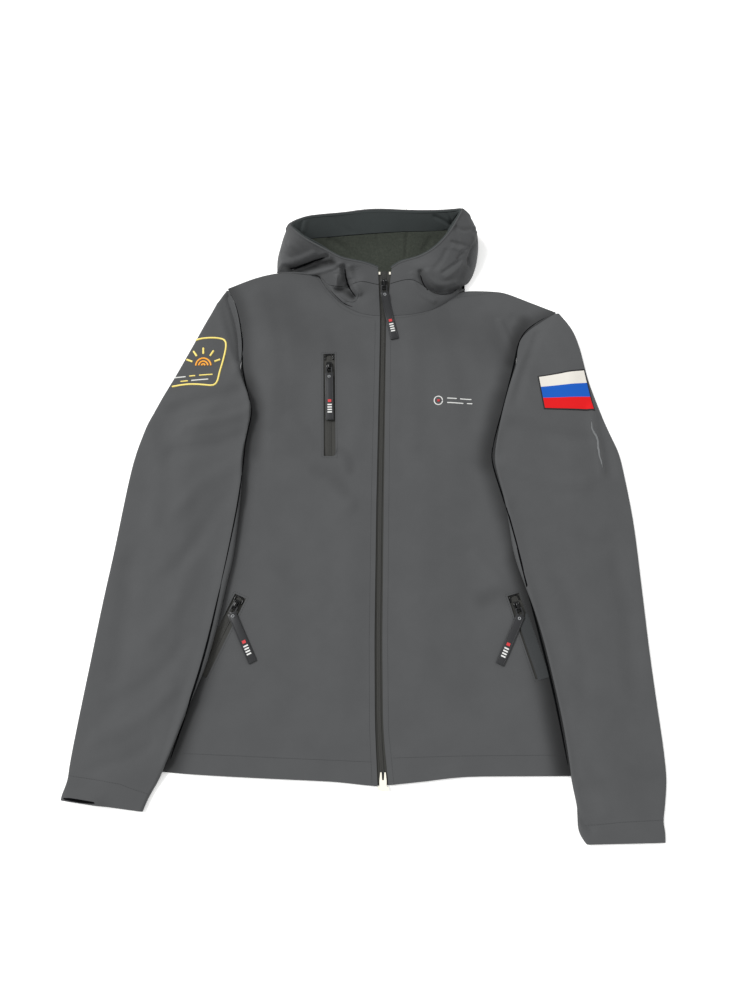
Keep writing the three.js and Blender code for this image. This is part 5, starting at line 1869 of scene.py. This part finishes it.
@dataclass
class PocketZip:
    """A pocket zip in its window, whose places are given across and down the window.

    Attributes:
        node: First part of the names of its CAD nodes.
        top: Middle of the window's upper end, on the plan.
        lean: Turn of the window in degrees, against the clock.
        length: Length of the window.
        slider_down: Distance of the slider from the window's top.
        pull_turn: Turn of the pull's strip against the window, in degrees.
        welt: Whether a lip of cloth covers a part of the window.
        half_window: Half of the window's width.
        stitch_gap: Distance of the stitching from the window.
        coil_half: Half of the width of its teeth.
        coil_inset: How far the teeth end before the window does.
        strip_down: Distance from the slider's top to the strip's start.
        cap: Outline of the moulded upper end.
        lip_from: Where the lip starts.
        lip_section: The lip across the window: across, and above the cloth.
    """

    node: str
    top: Point
    lean: float
    length: float
    slider_down: float
    pull_turn: float
    welt: bool = False
    half_window: float = 7.7
    stitch_gap: float = 2.2
    coil_half: float = 2.0
    coil_inset: float = 2.5
    strip_down: float = 11.15
    cap: Route = ((-5.4, 9), (-5.4, 3.4), (-4.2, 1.6), (0, 0.9), (4.2, 1.6), (5.4, 3.4), (5.4, 9))
    lip_from: float = 27.0
    lip_section: Route = ((-4.6, -0.9), (-5.2, -0.1), (-4.4, 0.5), (-1.0, 0.8), (5.0, 0.7), (9.4, 0.05))

    def along(self, across: float, down: float) -> Vector:
        """Find a place in the window.

        Args:
            across: Distance from its middle line in millimetres.
            down: Distance from its top in millimetres.

        Returns:
            The place on the plan.
        """
        turn = math.radians(self.lean)
        x = self.top[0] + across * math.cos(turn) + down * math.sin(turn)
        y = self.top[1] + across * math.sin(turn) - down * math.cos(turn)
        return plan(x, y)

    def build(self, front: Probe) -> None:
        """Dress the tape, lay the coil and sew round the window.

        Args:
            front: The two fronts.
        """
        dress(f"{self.node}_tape", TAPE)
        tape = Probe([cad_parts[f"{self.node}_tape"]])
        ends = (self.coil_inset, self.length - self.coil_inset)
        coil(f"{self.node}_coil", [self.along(0, down) for down in ends], tape, self.coil_half)
        edge = self.half_window + self.stitch_gap
        upper_row, lower_row = -self.stitch_gap, self.length + self.stitch_gap
        row = [
            self.along(-edge, lower_row), self.along(-edge, upper_row), self.along(edge, upper_row),
            self.along(edge, lower_row), self.along(-edge, lower_row),
        ]
        stitches(f"{self.node}_window_stitch", [row], front)
        cap = rounded([self.along(across, down) for across, down in self.cap])
        line = tape.laid(cap, 0.8 * MM, 0.6 * MM)
        riding(rib(f"{self.node}_end_cap", line, 1.1, ENAMEL))
        if self.welt:
            riding(self.lip(front))
        start = self.along(0, self.slider_down + self.strip_down)
        ZipPull(self.node, self.lean, start, self.lean + self.pull_turn).build()

    def lip(self, front: Probe) -> bpy.types.Object:
        """Make the folded lip of shell cloth, coloured with painted half shade, that leaves only a slit
        of the window open.

        Args:
            front: The two fronts.

        Returns:
            The lip, which narrows towards its upper end.
        """
        steps, closing_steps, narrowing = 24, 4, 0.8
        below_window, beside_window = 2.0, 1.8
        outer = self.lip_section[-1][0]
        run = self.length + below_window - self.lip_from
        bm = bmesh.new()
        rows = []
        for step in range(steps + 1):
            down = self.lip_from + run * step / steps
            hit = front.top(self.along(self.half_window + beside_window, down))
            level = hit[0].z if hit else CLOTH_TOP * MM
            narrower = (1 - soft_step(step / closing_steps)) * narrowing
            rows.append([
                bm.verts.new(
                    self.along(across + narrower * (outer - across), down)
                    + UP * (level + rise * MM)
                )
                for across, rise in self.lip_section
            ])
        for above, below in zip(rows, rows[1:]):
            for j in range(len(self.lip_section) - 1):
                bm.faces.new((above[j], above[j + 1], below[j + 1], below[j]))
        bmesh.ops.recalc_face_normals(bm, faces=bm.faces)
        bmesh.ops.solidify(bm, geom=bm.faces, thickness=0.4 * MM)
        return piece_from(bm, f"{self.node}_lip", PAINTED_HALF_SHADE, 60)


@dataclass
class ChestMark:
    """A tiny plain embroidered mark on the wearer's left front.

    Attributes:
        middle: Pixel in the middle of the ring.
        radius: Radius of the ring in pixels.
        dot: Pixels of the dot's two ends.
        dashes: Left end, row and length of each dash in pixels.
        slope: Fall of a dash for each pixel of its length.
        surface: Height of the cloth there, in millimetres.
        pitch: Distance between the points of a line, in metres.
    """

    middle: Point = (438.5, 400)
    radius: float = 4.2
    dot: Route = ((437, 400), (440, 400))
    dashes: tuple[Triple, ...] = (
        (447, 397.6, 10), (460, 398, 12), (447, 402, 17), (467, 402.4, 6),
    )
    slope: float = 0.03
    surface: float = 8.0
    pitch: float = 0.8 * MM

    def build(self, front: Probe) -> None:
        """Embroider a ring round a dot beside two lines of dashes.

        Args:
            front: The two fronts.
        """
        ring = [around(self.middle, self.radius, -18 * step) for step in range(21)]
        lines: list[tuple[str, Sequence[Point], float, Finish]] = [
            ("ring", ring, 0.75, PALE_THREAD),
            ("dot", self.dot, 1.7, RED_THREAD),
        ]
        for index, (left, row, length) in enumerate(self.dashes):
            dash = ((left, row), (left + length, row + length * self.slope))
            lines.append((f"dash_{index + 1}", dash, 0.8, PALE_THREAD))
        for name, pixels, radius, thread in lines:
            line = front.laid(seen(pixels, self.surface), self.pitch)
            riding(rib(f"chest_mark_{name}", line, radius, thread))


@dataclass
class Studio:
    """Camera, floor and soft light.

    Attributes:
        floor_half: Half of the floor's width in metres.
        floor_drop: How far the floor is under the jacket, so that no two faces meet.
        daylight: Strength of the light from all sides.
        window_power: Strength of the window.
        window_angle: How wide the window looks, which softens the shadows.
        window_from: Where the window is.
    """

    floor_half: float = 3.0
    floor_drop: float = 0.3
    daylight: float = 0.80
    window_power: float = 2.25
    window_angle: float = math.radians(20)
    window_from: Triple = (-0.55, 0.28, 0.7)

    def camera(self) -> None:
        """Make the camera at the photograph's angle."""
        lens = bpy.data.cameras.new("camera")
        lens.sensor_width = 36.0
        lens.lens = lens.sensor_width * VIEW.width_px / VIEW.height_px
        lens.clip_start = 0.01
        eye = bpy.data.objects.new("camera", lens)
        eye.location = VIEW.place()
        eye.rotation_euler = (VIEW.tilt, 0.0, 0.0)
        bpy.context.scene.collection.objects.link(eye)
        bpy.context.scene.camera = eye

    def build(self) -> None:
        """Make the floor and the lights."""
        bm = bmesh.new()
        bmesh.ops.create_grid(bm, x_segments=1, y_segments=1, size=self.floor_half)
        bmesh.ops.translate(bm, verts=bm.verts, vec=-UP * self.floor_drop * MM)
        piece_from(bm, "floor", FLOOR)
        world = bpy.data.worlds.new("studio")
        world.use_nodes = True
        sky = world.node_tree.nodes["Background"]
        sky.inputs["Color"].default_value = (1, 1, 1, 1)
        sky.inputs["Strength"].default_value = self.daylight
        bpy.context.scene.world = world
        light = bpy.data.lights.new("window", "SUN")
        light.angle = self.window_angle
        light.energy = self.window_power
        lamp = bpy.data.objects.new("window", light)
        lamp.location = self.window_from
        lamp.rotation_euler = (-lamp.location).to_track_quat("-Z", "Y").to_euler()
        bpy.context.scene.collection.objects.link(lamp)
        bpy.context.scene.view_settings.view_transform = "Standard"


POCKETS = (
    PocketZip("chest_zip", (-71.6, 549.4), 1.2, length=146, slider_down=19, pull_turn=0.6),
    PocketZip("hand_zip_right", (-176.7, 221), -24.5, length=105, slider_down=12, pull_turn=50),
    PocketZip("hand_zip_left", (162.6, 223), 16.5, length=105, slider_down=16, pull_turn=-42, welt=True),
)


def main() -> None:
    """Build the jacket in order."""
    logging.basicConfig(level=logging.INFO, format="%(name)s %(message)s")
    studio = Studio()
    studio.camera()
    studio.build()
    body = Body()
    body.build()
    front_panels = [body.made["front_right"], body.made["front_left"]]
    Sleeves().build(front_panels)
    Hood().build()
    MainZip().build()
    fronts = Probe(front_panels)
    for pocket in POCKETS:
        pocket.build(fronts)
    ChestMark().build(fronts)


if __name__ == "__main__":
    main()
